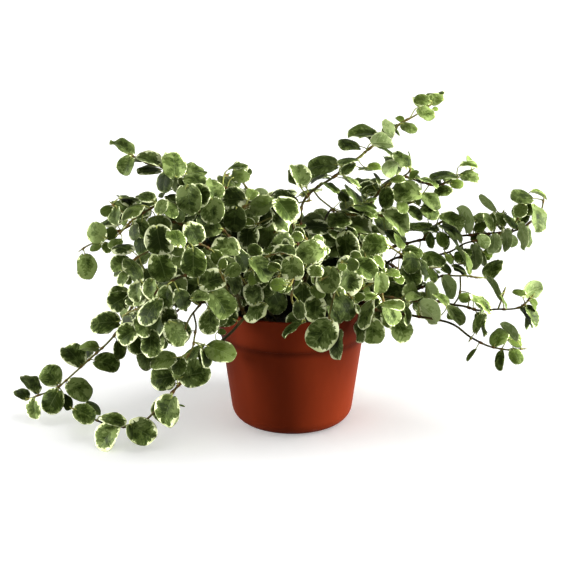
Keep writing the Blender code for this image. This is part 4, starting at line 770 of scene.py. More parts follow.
def in_dense_crown(u, v):
    """Whether this place of the picture lies in the dense crown."""
    inside = False
    for (a, b), (c, d) in zip(DENSE_CROWN, DENSE_CROWN[1:] + DENSE_CROWN[:1]):
        if (b > v) != (d > v) and u < a + (c - a) * (v - b) / (d - b):
            inside = not inside
    return inside


def blade_depth(leaf, u, v):
    """Depth of the leaf's blade at this place of the picture, or 0 beside it."""
    middle, up = leaf.spine(0.5)
    ray = unview(u, v, 1.0) - EYE
    fall = ray.dot(up)
    if abs(fall) < 1e-6:
        return 0.0
    depth = (middle - EYE).dot(up) / fall
    q = EYE + ray * depth - middle
    ahead = leaf.side.cross(up)
    on_blade = (q.dot(leaf.side) / leaf.wide) ** 2 + (q.dot(ahead) / leaf.long) ** 2 < 0.22
    return depth if on_blade else 0.0


def along_line(line, p):
    """Where on the line the point is, counted in its stations."""
    best = (1e9, 0.0)
    for i, (a, b) in enumerate(zip(line, line[1:])):
        t = max(0.0, min(1.0, (p - a).dot(b - a) / (b - a).length_squared))
        best = min(best, ((a.lerp(b, t) - p).length, i + t))
    return best[1]


def any_way(rng):
    """A draw of any direction."""
    return Vector([rng.gauss(0, 1) for _ in range(3)])


class FullPlant(Plant):
    """The packed plant, with the leaves and side twigs that the solids leave out."""

    def covered(self, leaf):
        """Whether seen leaves, the pot or the dense crown hide this leaf."""
        for p in (*leaf.corners(), leaf.base):
            u, v, depth = view(p)
            if not (p.y > 0 and over_pot(u, v) or in_dense_crown(u, v)
                    or self.behind_seen(u, v, depth, 0.95, 2)):
                return False
        u, v, depth = view(leaf.corners()[0])
        own = (leaf.long + leaf.wide) / 4 * FOCUS / depth
        return not any(depth < far + 1.5 and math.hypot(a - u, d - v) < (size + own) * 0.72
                       for a, d, size, _, far in self.seen)

    def seen_try(self, row, spots, rng, limit):
        """Place a seen leaf by the solids' rule, and slim it if it came out too broad."""
        if not super().seen_try(row, spots, rng, limit):
            return False
        leaf = self.leaves[-1][1]
        _, tip, right, left, base = (Vector(view(p)[:2]) for p in (*leaf.corners(), leaf.base))
        shown = abs((tip - base).normalized().cross(right - left))
        if shown > row[4] + 1:
            leaf.wide *= max(SLIMMEST, row[4] / shown)
        return True

    def seen_late(self, rows):
        """Place more seen leaves, with petioles of any shape."""
        self.shown = self.leaves[:len(self.seen)]
        self.stalk_most, self.aside_most, self.inline_least = LATE_PETIOLES
        spots = self.spots()
        front = [spot for spot in spots if spot[1].y < 0]
        for k, row in enumerate(rows):
            near = front if over_pot(*row[:2]) else spots
            if self.seen_leaf(row, near, random.Random(SEED * 300 + k)):
                self.shown.append(self.leaves[-1])

    def cover_stems(self):
        """Repeat a seen leaf in the same outline, in front of a stem that would run over it."""
        spots = [(e, p) + view(p) for e in self.lines for p in map(Vector, samples(e["line"]))]
        for n in sorted(range(len(self.seen)), key=lambda n: self.seen[n][3]):
            leaf = self.shown[n][1]
            across, down, size, _, far = self.seen[n]
            over = [s[4] for s in spots if math.hypot(s[2] - across, s[3] - down) < size * 1.3
                    and s[4] < blade_depth(leaf, s[2], s[3])]
            if not over:
                continue
            for lift in DOUBLE_LIFTS:
                if self.nearer_leaf(n, (min(over) - lift) / far, spots):
                    break

    def nearer_leaf(self, n, share, spots):
        """Place a leaf's double at this share of its distance from the eye."""
        across, down, size, layer, _ = self.seen[n]
        _, leaf, fine, age = self.shown[n]
        base = EYE + (leaf.base - EYE) * share
        double = Leaf(leaf.start, base, leaf.along, leaf.up, leaf.long * share, leaf.wide * share, leaf.bend)
        depth = view(double.spine(0.5)[0])[2]
        if self.under_seen(across, down, depth, size, layer, 0.7):
            return False
        found = sorted((abs((base - s[1]).length - PETIOLE), i) for i, s in enumerate(spots)
                       if 2 < (base - s[1]).length < 17)
        tried = []
        for _, i in found:
            stem, double.start = spots[i][:2]
            if stem in tried:
                continue
            tried.append(stem)
            if self.take(stem, double, double.long * 0.62 + 8, fine, age):
                self.seen[n] = (across, down, size, layer, depth)
                return True
        return False

    def side_twigs(self, counts, rng):
        """Short leafy side twigs on the crown's and the back's stems."""
        for entry in [l for l in self.lines if l["parent"] is None]:
            line = entry["line"]
            for _ in range(counts.get(entry["name"][:5], 0)):
                k = rng.randrange(3, max(4, len(line) - 2))
                for _ in range(TWIG_TRIES):
                    points = self.twig_points(entry, k, rng)
                    if self.twig_fits(points, line[k]):
                        self.add(entry["name"], smooth_line(points, 7), 6, entry["facing"], k)
                        self.tip_leaves(self.lines[-1])
                        break

    def twig_points(self, entry, k, rng):
        """A run for a side twig that leaves the stem at its station k."""
        line = entry["line"]
        ahead = (line[min(k + 1, len(line) - 1)] - line[k - 1]).normalized()
        out = any_way(rng).cross(ahead).normalized()
        run = (ahead * 0.5 + out + outward(line[k]) * 0.3 + entry["facing"] * 0.2).normalized()
        points = [line[k]]
        for _ in range(rng.randrange(3, 5)):
            points.append(points[-1] + run * TWIG_STEP)
            run = (run + Vector((0, 0, -0.12)) + out * rng.uniform(-0.2, 0.2)).normalized()
        return points

    def twig_fits(self, points, root):
        """Whether a twig clears the stems and the pot, and hides no seen leaf."""
        others = self.others(8, root)
        for p in points[1:]:
            u, v, depth = view(p)
            if (((others - np.array(p)) ** 2).sum(1).min() < TWIG_GAP or pot_push(p, 4).length > 0
                    or p.z < TWIG_LOWEST
                    or any(depth < far + 1 and math.hypot(a - u, d - v) < size * 0.88
                           for a, d, size, _, far in self.seen)
                    or not (in_dense_crown(u, v) or self.behind_seen(u, v, depth, 0.9, 2))):
                return False
        return True

    def tip_leaves(self, entry):
        """Two young leaves at the end of a twig."""
        line, facing = entry["line"], entry["facing"]
        ahead = (line[-1] - line[-2]).normalized()
        for turn in (-1, 1):
            along = (ahead + ahead.cross(facing).normalized() * 0.7 * turn).normalized()
            leaf = Leaf(line[-1], line[-1] + along * 2.5, along, upper_side(facing, along), 8.0, 6.0, 0.5)
            if self.covered(leaf):
                self.take(entry, leaf, 9.0, False, 0.4)

    def extra_leaves(self, entry, rng, spacing):
        """More leaves between those of the solids, turned any way round the stem."""
        line = entry["line"]
        total = reach_along(line)[-1]
        at = entry["bare"] * (0.8 if entry["parent"] is None else 1)
        while at < total - 2:
            at += spacing * rng.uniform(0.7, 1.3)
            reach = 0.0
            for a, b in zip(line, line[1:]):
                long = (b - a).length
                if reach + long >= at:
                    break
                reach += long
            p = a.lerp(b, min(1.0, (at - reach) / max(long, 1e-6)))
            ahead = (b - a).normalized()
            age = min(1.0, 0.5 + (total - at) / 60)
            for k in range(10):
                light = entry["facing"] + outward(p) * 0.5
                light = (light + any_way(rng) * (0.35 + 0.06 * k)).normalized()
                out = ahead.cross(light).normalized() * rng.choice((-1, 1))
                forward = rng.uniform(0.1, 1.0)
                along = out * math.cos(forward) + ahead * math.sin(forward) - Vector((0, 0, 0.2))
                along = along.normalized()
                long = LEAF_LONG * age * rng.uniform(0.82, 1.04) * (1 - 0.02 * k)
                leaf = Leaf(p, p + petiole_of(along, light, out, age), along, upper_side(light, along), long,
                            long * (0.80 + 0.16 * age), rng.uniform(0.35, 0.6))
                if self.covered(leaf) and self.take(entry, leaf, long * 0.62 + PETIOLE + 1, False, age):
                    break

    def open_sky(self):
        """Take away unseen leaves that would close the picture's gaps."""
        shown = {id(entry[1]) for entry in self.shown}

        def in_gap(leaf):
            u, v, _ = view(leaf.spine(0.5)[0])
            return any(left < u < right and top < v < bottom for left, top, right, bottom in OPEN_SKY)

        self.leaves = [entry for entry in self.leaves if id(entry[1]) in shown or not in_gap(entry[1])]

    def trim(self, entry):
        """End a stem past its last leaf, or leave out a side twig that bears none."""
        line = entry["line"]
        held = [along_line(line, leaf.start) for own, leaf, *_ in self.leaves if own is entry]
        if not held:
            return entry["parent"] is None
        last = min(len(line) - 1.0, max(held) + 0.12)
        k = int(last)
        if k < len(line) - 1:
            entry["line"] = line[:k + 1] + [line[k].lerp(line[k + 1], last - k)]
            if last - k < 0.3 and k > 1:
                entry["line"].pop(k)
        return True


# Where the top light stands
TOP_LIGHT = Vector((0.42, -0.04, 0.81))
# Mostly green stems, and how long the young part of those and of others is
GREEN_STEMS, GREEN_REACH, BROWN_REACH = ("runner_left", "shoot_top_right"), 4.2, 0.8
# Material slots of a leafy stem
UPPER, UNDER, BARK = 0, 1, 2
# Rows and columns of points on a large seen leaf, and on the others
FINE_BLADE, PLAIN_BLADE = (17, 13), (14, 10)
# The flat map: small sheets to a cell's side, and the margins round small and large sheets
SMALL_TO_A_SIDE, SMALL_MARGIN, LARGE_MARGIN = 3, 0.08, 0.03


def quads(rows, columns):
    """Faces of a grid of points, row after row."""
    k = np.arange((rows - 1) * (columns - 1))
    a = k // (columns - 1) * columns + k % (columns - 1)
    return np.stack([a, a + 1, a + columns + 1, a + columns], 1)


def lengths_along(path):
    """How far along the path each of its points is."""
    return np.concatenate([[0], np.cumsum(np.linalg.norm(np.diff(path, axis=0), axis=1))])


class Form:
    """One piece, gathered part by part."""

    def __init__(self):
        self.points, self.faces, self.finish, self.place, self.kind = [], [], [], [], []
        self.patches = []
        self.count = 0

    def add(self, points, place, kind, sheets):
        """Points with their shading places, and sheets of (faces, finish, flat place per corner, small)."""
        points = np.asarray(points, float).reshape(-1, 3)
        self.points.append(points)
        self.place.append(np.broadcast_to(place, points.shape))
        self.kind.append(np.broadcast_to(kind, points.shape))
        for faces, finish, flat, small in sheets:
            self.faces.append(faces + self.count)
            self.finish.append(np.full(len(faces), finish))
            self.patches.append((flat, small))
        self.count += len(points)

    def flat_map(self):
        """Every large sheet in a cell of its own, and nine small ones to a cell."""
        n = SMALL_TO_A_SIDE
        large = sum(not small for _, small in self.patches)
        side = math.ceil(math.sqrt(large + math.ceil((len(self.patches) - large) / n ** 2)))
        spot, small_spot, out = 0, 0, []
        for flat, small in self.patches:
            if small:
                cell, corner = large + small_spot // n ** 2, small_spot % n ** 2
                small_spot += 1
                flat = flat * (1 - 2 * SMALL_MARGIN) + SMALL_MARGIN
                inner = (flat + np.array([corner % n, corner // n])) / n
            else:
                cell, inner = spot, flat * (1 - 2 * LARGE_MARGIN) + LARGE_MARGIN
                spot += 1
            out.append((inner + np.array([cell % side, cell // side])) / side)
        return np.concatenate(out)

    def make(self, name, finishes):
        """The piece as an object, in metres."""
        mesh = bpy.data.meshes.new(name)
        mesh.from_pydata(np.concatenate(self.points) * MM, [], np.concatenate(self.faces))
        mesh.polygons.foreach_set("material_index", np.concatenate(self.finish).astype(np.int32))
        mesh.shade_smooth()
        for word, rows in (("form_place", self.place), ("form_kind", self.kind)):
            layer = mesh.attributes.new(word, "FLOAT_VECTOR", "POINT")
            layer.data.foreach_set("vector", np.concatenate(rows).astype(np.float32).ravel())
        # The piece's own flat map, under this name
        flat = mesh.uv_layers.new(name="OFBake", do_init=False)
        flat.uv.foreach_set("vector", self.flat_map().astype(np.float32).ravel())
        for finish in finishes:
            mesh.materials.append(finish)
        return in_scene(name, mesh)


def in_scene(name, data):
    """A new object of that name, in the scene."""
    made = bpy.data.objects.new(name, data)
    bpy.context.scene.collection.objects.link(made)
    return made


def rod(form, path, radii, sides, seed, ages, green=0.0, small=True, joints=0.0):
    """A round rod along the path, closed at both ends."""
    path = np.asarray(path, float)
    rows = len(path)
    radii, ages, joints = (np.broadcast_to(v, rows) for v in (radii, ages, joints))
    ahead = np.gradient(path, axis=0)
    ahead /= np.linalg.norm(ahead, axis=1)[:, None] + 1e-9
    side = np.array(Vector(ahead[0]).orthogonal().normalized())
    turns = math.tau * np.arange(sides) / sides
    points = []
    for p, t, r in zip(path, ahead, radii):
        side = side - t * side.dot(t)
        side /= np.linalg.norm(side)
        points.append(p + r * (np.outer(np.cos(turns), side) + np.outer(np.sin(turns), np.cross(t, side))))
    faces = ring_faces(rows, sides)
    flat = [((k + a) / sides, (i + b) / (rows - 1)) for i in range(rows - 1) for k in range(sides)
            for a, b in ((0, 0), (1, 0), (1, 1), (0, 1))]
    for start, turn in ((0, -1), ((rows - 1) * sides, 1)):
        for k in range(1, sides - 2, 2):
            ring = [start, start + k, start + k + 1, start + k + 2]
            faces.append(ring[::turn])
            flat += [(0.5 + 0.01 * math.cos(2 * n), (start > 0) * 0.99 + 0.01 * abs(math.sin(n)))
                     for n in range(4)]
    whole = rows * sides
    place = np.stack([np.tile(turns, rows), np.repeat(lengths_along(path), sides), np.full(whole, seed)], 1)
    kind = np.stack([np.repeat(ages, sides), np.full(whole, green), np.repeat(joints, sides)], 1)
    form.add(np.concatenate(points), place, kind, [(np.array(faces), BARK, np.array(flat), small)])


def leaf_outline(rng, look, age, fine):
    """A round grid for a blade: plain and wandering places, distance from the middle, ruffles."""
    rows, columns = FINE_BLADE if fine else PLAIN_BLADE
    t = np.linspace(0.04, 0.972, rows)[:, None]
    s = np.sin(np.linspace(-1, 1, columns) * 1.36)[None] / math.sin(1.36)
    x = s * np.sin(math.pi * t) ** 0.87
    y = -np.cos(math.pi * t) + 0 * s
    angle, out = np.arctan2(x, -y), np.hypot(x, y)
    edge = np.zeros_like(x)
    for k in range(2, 9):
        edge += rng.normal() / k ** 0.6 * np.cos(k * angle + rng.uniform(0, math.tau))
    edge = 1 + look.ragged * age * edge * out ** 2
    ruffle = sum(rng.normal() * np.cos(k * angle + rng.uniform(0, math.tau)) for k in range(3, 7))
    tall = y * edge - 0.10 * np.abs(s) * np.exp(-(t / 0.16) ** 2)
    return x, y, x * edge, tall, out, ruffle


def blade(form, leaf, age, seed, look, size, fine):
    """A leaf's blade: two curved faces that meet at its wavy edge."""
    rng = np.random.default_rng(seed)
    x, y, wide, tall, out, ruffle = leaf_outline(rng, look, age, fine)
    rows, columns = x.shape
    half = leaf.wide * size / 2
    fold, dome = rng.uniform(-0.06, 0.40), rng.uniform(0.02, 0.28)
    veins = np.abs(np.sin(math.pi * (tall - 0.55 * np.abs(wide)) * look.vein_pairs / 2))
    lift = fold * np.abs(wide) - dome * wide ** 2 - 0.10 * tall ** 2
    lift = lift + look.crinkle * age * (0.45 * ruffle * out ** 3 + 0.5 * (veins - 0.6) * (1 - out ** 4))
    lift = lift - 0.035 * np.exp(-(wide / 0.08) ** 2)
    twist = (rng.normal() * 0.16 * (tall + 1) / 2)[..., None]
    turn = (leaf.bend * ((tall + 1) / 2))[..., None]
    reach = leaf.long * size / leaf.bend
    base, along, up, side = (np.array(v) for v in (leaf.base, leaf.along, leaf.up, leaf.side))
    base = base - along * (size - 1) * leaf.long / 2
    middle = base + along * (reach * np.sin(turn)) - up * (reach * (1 - np.cos(turn)))
    normal = up * np.cos(turn) + along * np.sin(turn)
    across = side * np.cos(twist) + normal * np.sin(twist)
    normal = normal * np.cos(twist) - side * np.sin(twist)
    top = middle + across * (wide * half)[..., None] + normal * (lift * half)[..., None]
    low = top[..., 2].min()
    if low < LEAF_LOWEST:
        top[..., 2] += (LEAF_LOWEST - low) * np.clip(1 - (top[..., 2] - low) / 6, 0, 1)
    under = top - normal * (look.thickness / MM * (1 - 0.7 * out ** 3))[..., None]
    inner = np.zeros((rows, columns), bool)
    inner[1:-1, 1:-1] = True
    below = np.arange(rows * columns).reshape(rows, columns)
    below[inner] = rows * columns + np.arange(inner.sum())
    grid = quads(rows, columns)
    flat = np.stack([0.5 + 0.44 * wide, 0.5 + 0.44 * tall], -1).reshape(-1, 2).clip(0, 1)
    place = np.stack([x, y, np.full_like(x, seed % 97 / 97)], -1).reshape(-1, 3)
    place = np.concatenate([place, place[inner.ravel()]])
    form.add(np.concatenate([top.reshape(-1, 3), under[inner]]), place, (age, *leaf_tone_and_painted_shade(leaf, rng)),
             [(grid[:, ::-1], UPPER, flat[grid[:, ::-1]].reshape(-1, 2), False),
              (below.ravel()[grid], UNDER, flat[grid].reshape(-1, 2), False)])


def leaf_tone_and_painted_shade(leaf, rng):
    """How much cream a leaf has, and how light it is, with painted shade on leaves that face a light
    squarely.
    """
    tone, cream = rng.uniform(), rng.uniform()
    # The cream is widest over the pot and thin out to the right
    spare = 0.4 * math.exp(-((leaf.base.x - 20) / 35) ** 2)
    cream = min(1.1, cream * (1 + spare - 0.55 * min(1.0, max(0.0, leaf.base.x / 60 - 0.4))))
    # Painted shade: a leaf that faces one of the lights squarely is painted a little darker
    light = tone - 1.3 * max(0.0, abs(leaf.up.dot(TOP_LIGHT.normalized())) - 0.6)
    light -= 1.2 * max(0.0, abs(leaf.up.x) - 0.4)
    return cream, light


def stalk(form, leaf, age, seed, look):
    """The petiole, curving from the stem into the blade's base."""
    start, base = leaf.start, leaf.base
    run = base - start
    long = run.length
    a, b, c, d = (np.array(v, float) for v in (
        start, start + (run.normalized() + leaf.up * 0.25) * long * 0.4,
        base - leaf.along * long * 0.35, base + leaf.along * 1.2 - leaf.up * 0.25))
    t = np.linspace(0, 1, 7)[:, None]
    path = a * (1 - t) ** 3 + 3 * b * t * (1 - t) ** 2 + 3 * c * t * t * (1 - t) + d * t ** 3
    thick = look.petiole / MM / 2 * (0.65 + 0.35 * age)
    rod(form, path, thick * np.linspace(1.15, 0.85, 7), 6, seed, 0.25, 1.0)


def bud(form, place, ahead, long, thick, seed, green=0.3):
    """A pointed bud that leaves its place straight ahead."""
    path = [place + ahead * (long * t) for t in (0, 0.25, 0.6, 1)]
    rod(form, path, np.array([0.7, 1.0, 0.7, 0.12]) * thick, 6, seed, 0.05, green)


def rootlets(form, place, on, seed, rng):
    """A few short aerial roots that hang from an old joint."""
    for n in range(rng.randrange(2, 5)):
        away = (any_way(rng).cross(on) - Vector((0, 0, 0.7))).normalized()
        start = place + on * rng.uniform(-1, 1)
        long = rng.uniform(1.6, 4.2)
        bend = away + Vector([rng.gauss(0, 0.35) for _ in range(3)])
        if (start + bend * long).z > 0.5:
            path = [start, start + away * long * 0.5, start + bend * long]
            rod(form, path, [0.16, 0.12, 0.05], 4, seed + n, 1.0)


def stem_form(form, entry, leaves, seed, look):
    """A stem or twig: thicker at each leaf's place, with buds, rootlets and a pointed tip."""
    rng = random.Random(seed)
    line = entry["line"]
    path = np.array([tuple(p) for p in smooth_line(line, 2.0, line[0] * 2 - line[1])])
    reach = lengths_along(path)
    total = reach[-1]
    twig = entry["parent"] is not None
    wobble = np.stack([sum(rng.gauss(0, 0.16) * np.sin(reach / w + rng.uniform(0, 6)) for w in (3, 5, 9))
                       for _ in range(3)], 1)
    wobble *= np.clip(reach / 12, 0, 1)[:, None]
    if twig:
        wobble *= np.clip((reach - 2) / 8, 0, 1)[:, None]
    path = path + wobble
    root = look.thickness / MM / 2 * (0.62 if twig else 1.0)
    tip = look.tip_thickness / MM / 2
    share = np.clip(reach / max(total, 30.0 if twig else 60.0), 0, 1)
    radii = root + (tip - root) * share ** 1.8
    joints, knuckles = [], np.zeros(len(path))
    for leaf in leaves:
        near = np.linalg.norm(path - np.array(leaf.start), axis=1).argmin()
        joints.append(near)
        knuckles = np.maximum(knuckles, np.exp(-((reach - reach[near]) / 1.1) ** 2))
    radii = radii * (1 + 0.5 * knuckles)
    young = look.young_reach / MM * (GREEN_REACH if entry["name"] in GREEN_STEMS else BROWN_REACH)
    ages = np.clip((total - reach) / young, 0, 1)
    if twig:
        ages = ages * 0.85
    rod(form, path, radii, 8, seed, ages, 0.0, False, knuckles)
    bud(form, Vector(path[-1]), Vector(path[-1] - path[-2]).normalized(), 3.0, max(tip, 0.45), seed + 1, 0.8)
    for k, (leaf, near) in enumerate(zip(leaves, joints)):
        place = Vector(path[near])
        run = (leaf.base - leaf.start).normalized()
        on = Vector(path[min(near + 1, len(path) - 1)] - path[max(near - 1, 0)]).normalized()
        if rng.random() < 0.7:
            bud(form, place + run * radii[near] * 0.6, (on + run * 0.8).normalized(), rng.uniform(1.2, 2.0),
                0.42, seed + k)
        if ages[near] > 0.45 and rng.random() < look.rootlets:
            rootlets(form, place, on, seed, rng)


def maths(operation, swapped=False):
    """A method that adds one Math node, its numbers swapped for a reflected operator."""
    def method(wire, other=0.0):
        a, b = (other, wire) if swapped else (wire, other)
        return wire.node("ShaderNodeMath", {"operation": operation}, {0: a, 1: b})

    return method


class Wire:
    """A node socket that takes part in sums."""

    def __init__(self, tree, socket):
        self.tree, self.socket = tree, socket

    def node(self, kind, settings=None, sockets=None, out=0):
        """A new node: its settings are set first, then the values or links of its sockets."""
        made = self.tree.nodes.new(kind)
        for word, value in (settings or {}).items():
            setattr(made, word, value)
        for key, value in (sockets or {}).items():
            if isinstance(value, Wire):
                self.tree.links.new(value.socket, made.inputs[key])
            else:
                if hasattr(value, "__len__") and made.inputs[key].type == "RGBA" and len(value) == 3:
                    value = (*value, 1)
                made.inputs[key].default_value = value
        return Wire(self.tree, made.outputs[out])

    __add__, __radd__ = maths("ADD"), maths("ADD", True)
    __sub__, __rsub__ = maths("SUBTRACT"), maths("SUBTRACT", True)
    __mul__, __rmul__ = maths("MULTIPLY"), maths("MULTIPLY", True)
    __truediv__, __pow__ = maths("DIVIDE"), maths("POWER")
    size, larger, part = maths("ABSOLUTE"), maths("MAXIMUM"), maths("FRACT")
    sine, cosine = maths("SINE"), maths("COSINE")

    def step(self, low, high):
        """A smooth step from 0 at low to 1 at high."""
        return self.node("ShaderNodeMapRange", {"interpolation_type": "SMOOTHSTEP"},
                         {"Value": self, "From Min": low, "From Max": high})

    def apart(self):
        """A vector's three numbers."""
        split = self.tree.nodes.new("ShaderNodeSeparateXYZ")
        self.tree.links.new(self.socket, split.inputs[0])
        return [Wire(self.tree, s) for s in split.outputs]

    def joined(self, x, y, z):
        return self.node("ShaderNodeCombineXYZ", None, {0: x, 1: y, 2: z})

    def times(self, numbers):
        """A vector stretched along its axes."""
        return self.node("ShaderNodeVectorMath", {"operation": "MULTIPLY"}, {0: self, 1: numbers})

    def cloud(self, scale, detail=3.0, rough=0.55):
        """Smooth noise at this place, about 0 to 1."""
        return self.node("ShaderNodeTexNoise", None,
                         {"Vector": self, "Scale": scale, "Detail": detail, "Roughness": rough})

    def cells(self, scale):
        """Distance from the walls of an irregular net at this place."""
        return self.node("ShaderNodeTexVoronoi", {"feature": "DISTANCE_TO_EDGE"},
                         {"Vector": self, "Scale": scale})

    def between(self, a, b):
        """The colour a where this is 0 and b where it is 1."""
        return self.node("ShaderNodeMix", {"data_type": "RGBA"}, {0: self, 6: a, 7: b}, 2)

    def tinted(self, colour, share=1.0):
        """This colour multiplied by another one."""
        return self.node("ShaderNodeMix", {"data_type": "RGBA", "blend_type": "MULTIPLY"},
                         {0: share, 6: self, 7: colour}, 2)

    def grey(self):
        """A number as a colour."""
        return self.node("ShaderNodeCombineColor", None, {0: self, 1: self, 2: self})

    def relief(self, depth, strength=1.0):
        """A normal bent by this height."""
        return self.node("ShaderNodeBump", None, {"Height": self, "Distance": depth, "Strength": strength})


def finish_named(name, **fixed):
    """A new material with its fixed values, a wire to draw from and a way to link sockets."""
    material = bpy.data.materials.new(name)
    material.use_nodes = True
    tree = material.node_tree
    shader = next(n for n in tree.nodes if n.type == "BSDF_PRINCIPLED")
    for word, value in fixed.items():
        shader.inputs[word.replace("_", " ")].default_value = value
    start = Wire(tree, None)

    def wear(socket, wire):
        tree.links.new(wire.socket, shader.inputs[socket])

    return material, start, wear


def attribute(start, name):
    """The three numbers that the meshes carry under this name."""
    return start.node("ShaderNodeAttribute", {"attribute_name": name}, None, 1).apart()


def own_place(start):
    """Places in the piece's own metres."""
    return start.node("ShaderNodeTexCoord", None, None, 3)


def leaf_finish(name, look, under):
    """Green patches that follow the side veins, a ragged cream edge, a fine net, and painted light and shade.
    """
    material, start, wear = finish_named(name, Specular_IOR_Level=0.03)
    x, y, seed = attribute(start, "form_place")
    # The third number is a leaf's lightness: a random tone with painted shade on leaves that face a light
    age, cream, light = attribute(start, "form_kind")
    tone = (seed * 7.3).part()
    out = (x * x + y * y + 0.0001) ** 0.5
    slant = y - 0.55 * x.size()
    spot = start.joined(x, y, seed * 83)
    small = spot.cloud(11, 3, 0.6)
    feather = start.joined(x * 1.5, slant * 3.0, seed * 41).cloud(1.9, 4, 0.64)
    round_about = start.joined(x / out, y / out, seed * 59)
    lobes, notches = round_about.cloud(0.95, 2, 0.5), round_about.cloud(3.1, 3, 0.6)
    width = look.cream_width * (0.20 + 1.35 * cream) * lobes.step(0.36, 0.64) * (0.35 + 0.65 * age)
    width = width * (0.25 + 1.15 * notches.step(0.32, 0.62))
    bare = notches.step(0.56, 0.44) * (1 - cream).step(0.3, 0.8) * 0.09
    rim = out + (feather - 0.5) * (0.07 + width * 1.1) + (small - 0.5) * 0.07 + width - bare
    rim = rim.step(0.985, 1.02)
    rim_near = (out + (feather - 0.5) * 0.6 + width * 1.4 + (notches - 0.5) * 0.2).step(0.86, 1.04)
    rays = slant * (look.vein_pairs / 2)
    lateral = 1 - (1 - (rays.part() - 0.5).size() * 2).step(0.0, 0.16)
    middle = 1 - x.size().step(0.010, 0.045)
    vein = middle.larger(lateral * 0.5) * (1 - out.step(0.72, 0.98))
    broad = spot.cloud(1.5, 2)
    zone = out * 0.42 + (feather - 0.5) * 1.2 + (broad - 0.5) * 1.5 + (tone - 0.5) * 0.5
    grey, deep, mid = look.grey_green, look.deep_green, look.mid_green
    if under:
        grey, deep, mid = look.under_green, look.under_deep, look.under_green
    colour = zone.step(0.05, 0.16).between(deep, mid)
    colour = zone.step(0.34, 0.46).between(colour, grey)
    young = feather.step(0.4, 0.6).between(look.young_green, mid)
    colour = (1 - age.step(0.35, 0.85)).larger(tone.step(0.88, 0.93) * 0.4).between(colour, young)
    colour = (vein * (0.35 if under else 0.22)).between(colour, look.cream if under else look.vein_green)
    colour = (rim_near * 0.6).between(colour, grey)
    colour = rim.between(colour, broad.step(0.4, 0.6).between(look.cream, look.cream_pale))
    # Painted light: leaves are darkest in the middle, lighter out toward both sides and lightest toward the
    # right, where the side lamps fall
    across = own_place(start).apart()[0]
    outer = 0.78 + (across + 0.02).size().step(0.06, 0.16) * 0.26 + across.step(-0.03, 0.07) * 0.36
    tone_and_painted_light = ((0.71 + light * 0.58 + (small - 0.5) * 0.22) * outer).grey()
    wear("Base Color", colour.tinted(tone_and_painted_light))
    net = spot.cells(9).step(0.0, 0.09)
    height = (1 - vein * 1.5) * 0.6 + net * (0.16 if not under else 0.3) + small * 0.25 - rim * 0.12
    if under:
        height = vein * 1.2 - net * 0.3
    wear("Normal", height.relief(0.00022, 0.8))
    wear("Roughness", 0.44 + (0.14 if under else 0.0) + small * 0.18 + rim * 0.05)
    return material


def stem_finish(name, look):
    """Dark brown bark on old stems, reddish and then green towards the tips, with green stalks."""
    material, start, wear = finish_named(name, Specular_IOR_Level=0.04)
    around, reach, seed = attribute(start, "form_place")
    age, green, joint = attribute(start, "form_kind")
    spot = start.joined(around.sine(), around.cosine(), reach * 0.16 + seed * 7.3)
    grain, flecks = spot.cloud(2.2, 4, 0.65), start.joined(around * 1.4, reach * 2.4, seed).cloud(3.0, 2)
    weathered = start.joined(reach * 0.035, seed * 3.7, 0.0).cloud(1.0, 2)
    bark = (grain * 0.5 + weathered * 0.9).step(0.58, 0.84).between(look.bark_dark, look.bark)
    bark = (flecks.step(0.62, 0.70) * 0.45).between(bark, look.fleck)
    young = grain.step(0.45, 0.8).between(look.young_stem, look.young_red)
    colour = (age + (grain - 0.5) * 0.5).step(0.20, 0.62).between(young, bark)
    colour = (joint * (0.2 + grain * 0.6)).between(colour, look.scar)
    stalk_green = (reach + grain * 2).step(0.6, 2.4).between(look.young_red, look.petiole_green)
    colour = green.between(colour, stalk_green)
    wear("Base Color", colour)
    wear("Roughness", 0.45 + grain * 0.25)
    wear("Normal", (grain + flecks * 0.4).relief(0.00025, 0.9))
    return material


def tint(name, description, default):
    """A colour that a user may change, in linear values."""
    return FloatVectorProperty(name=name, description=description, subtype="COLOR", size=3, min=0, max=1,
                               default=default)


def length(name, description, default, low, high):
    """A length that a user may change, in metres."""
    return FloatProperty(name=name, description=description, unit="LENGTH", default=default, min=low,
                         max=high, precision=4)


def amount(name, description, default, low, high, **more):
    """A plain number that a user may change."""
    return FloatProperty(name=name, description=description, default=default, min=low, max=high, **more)


def number(name, description, default, high):
    """A whole number that a user may change."""
    return IntProperty(name=name, description=description, default=default, min=0, max=high)


class FigLeafLook(bpy.types.PropertyGroup):
    """Colours and shape of the leaves."""

    deep_green: tint("Deep green", "Darkest patches of the upper side", (0.0120, 0.0205, 0.0016))
    mid_green: tint("Middle green", "Ground colour of the upper side", (0.038, 0.056, 0.0105))
    grey_green: tint("Grey green", "Pale patches of the upper side", (0.094, 0.124, 0.036))
    young_green: tint("Young green", "Leaves near the tips", (0.050, 0.076, 0.0070))
    vein_green: tint("Vein green", "Midrib and side veins", (0.118, 0.155, 0.050))
    cream: tint("Cream", "Edge of the leaf", (0.410, 0.455, 0.220))
    cream_pale: tint("Pale cream", "Lighter stretches of the edge", (0.580, 0.615, 0.370))
    under_green: tint("Underside", "Ground colour of the underside", (0.200, 0.252, 0.100))
    under_deep: tint("Underside patches", "Darker patches of the underside", (0.124, 0.168, 0.054))
    cream_width: amount("Cream width", "Mean width of the edge, in half widths of the leaf", 0.185, 0, 0.5)
    vein_pairs: amount("Vein pairs", "Side veins on each half", 5.2, 2, 9)
    thickness: length("Thickness", "Thickness of a leaf at its middle", 0.00036, 0.0002, 0.001)
    petiole: length("Petiole", "Thickness of a full-grown leaf's stalk", 0.0009, 0.0004, 0.002)
    ragged: amount("Ragged edge", "How far the outline wanders", 0.016, 0, 0.2)
    crinkle: amount("Crinkle", "How much the blade puckers", 0.085, 0, 0.3)


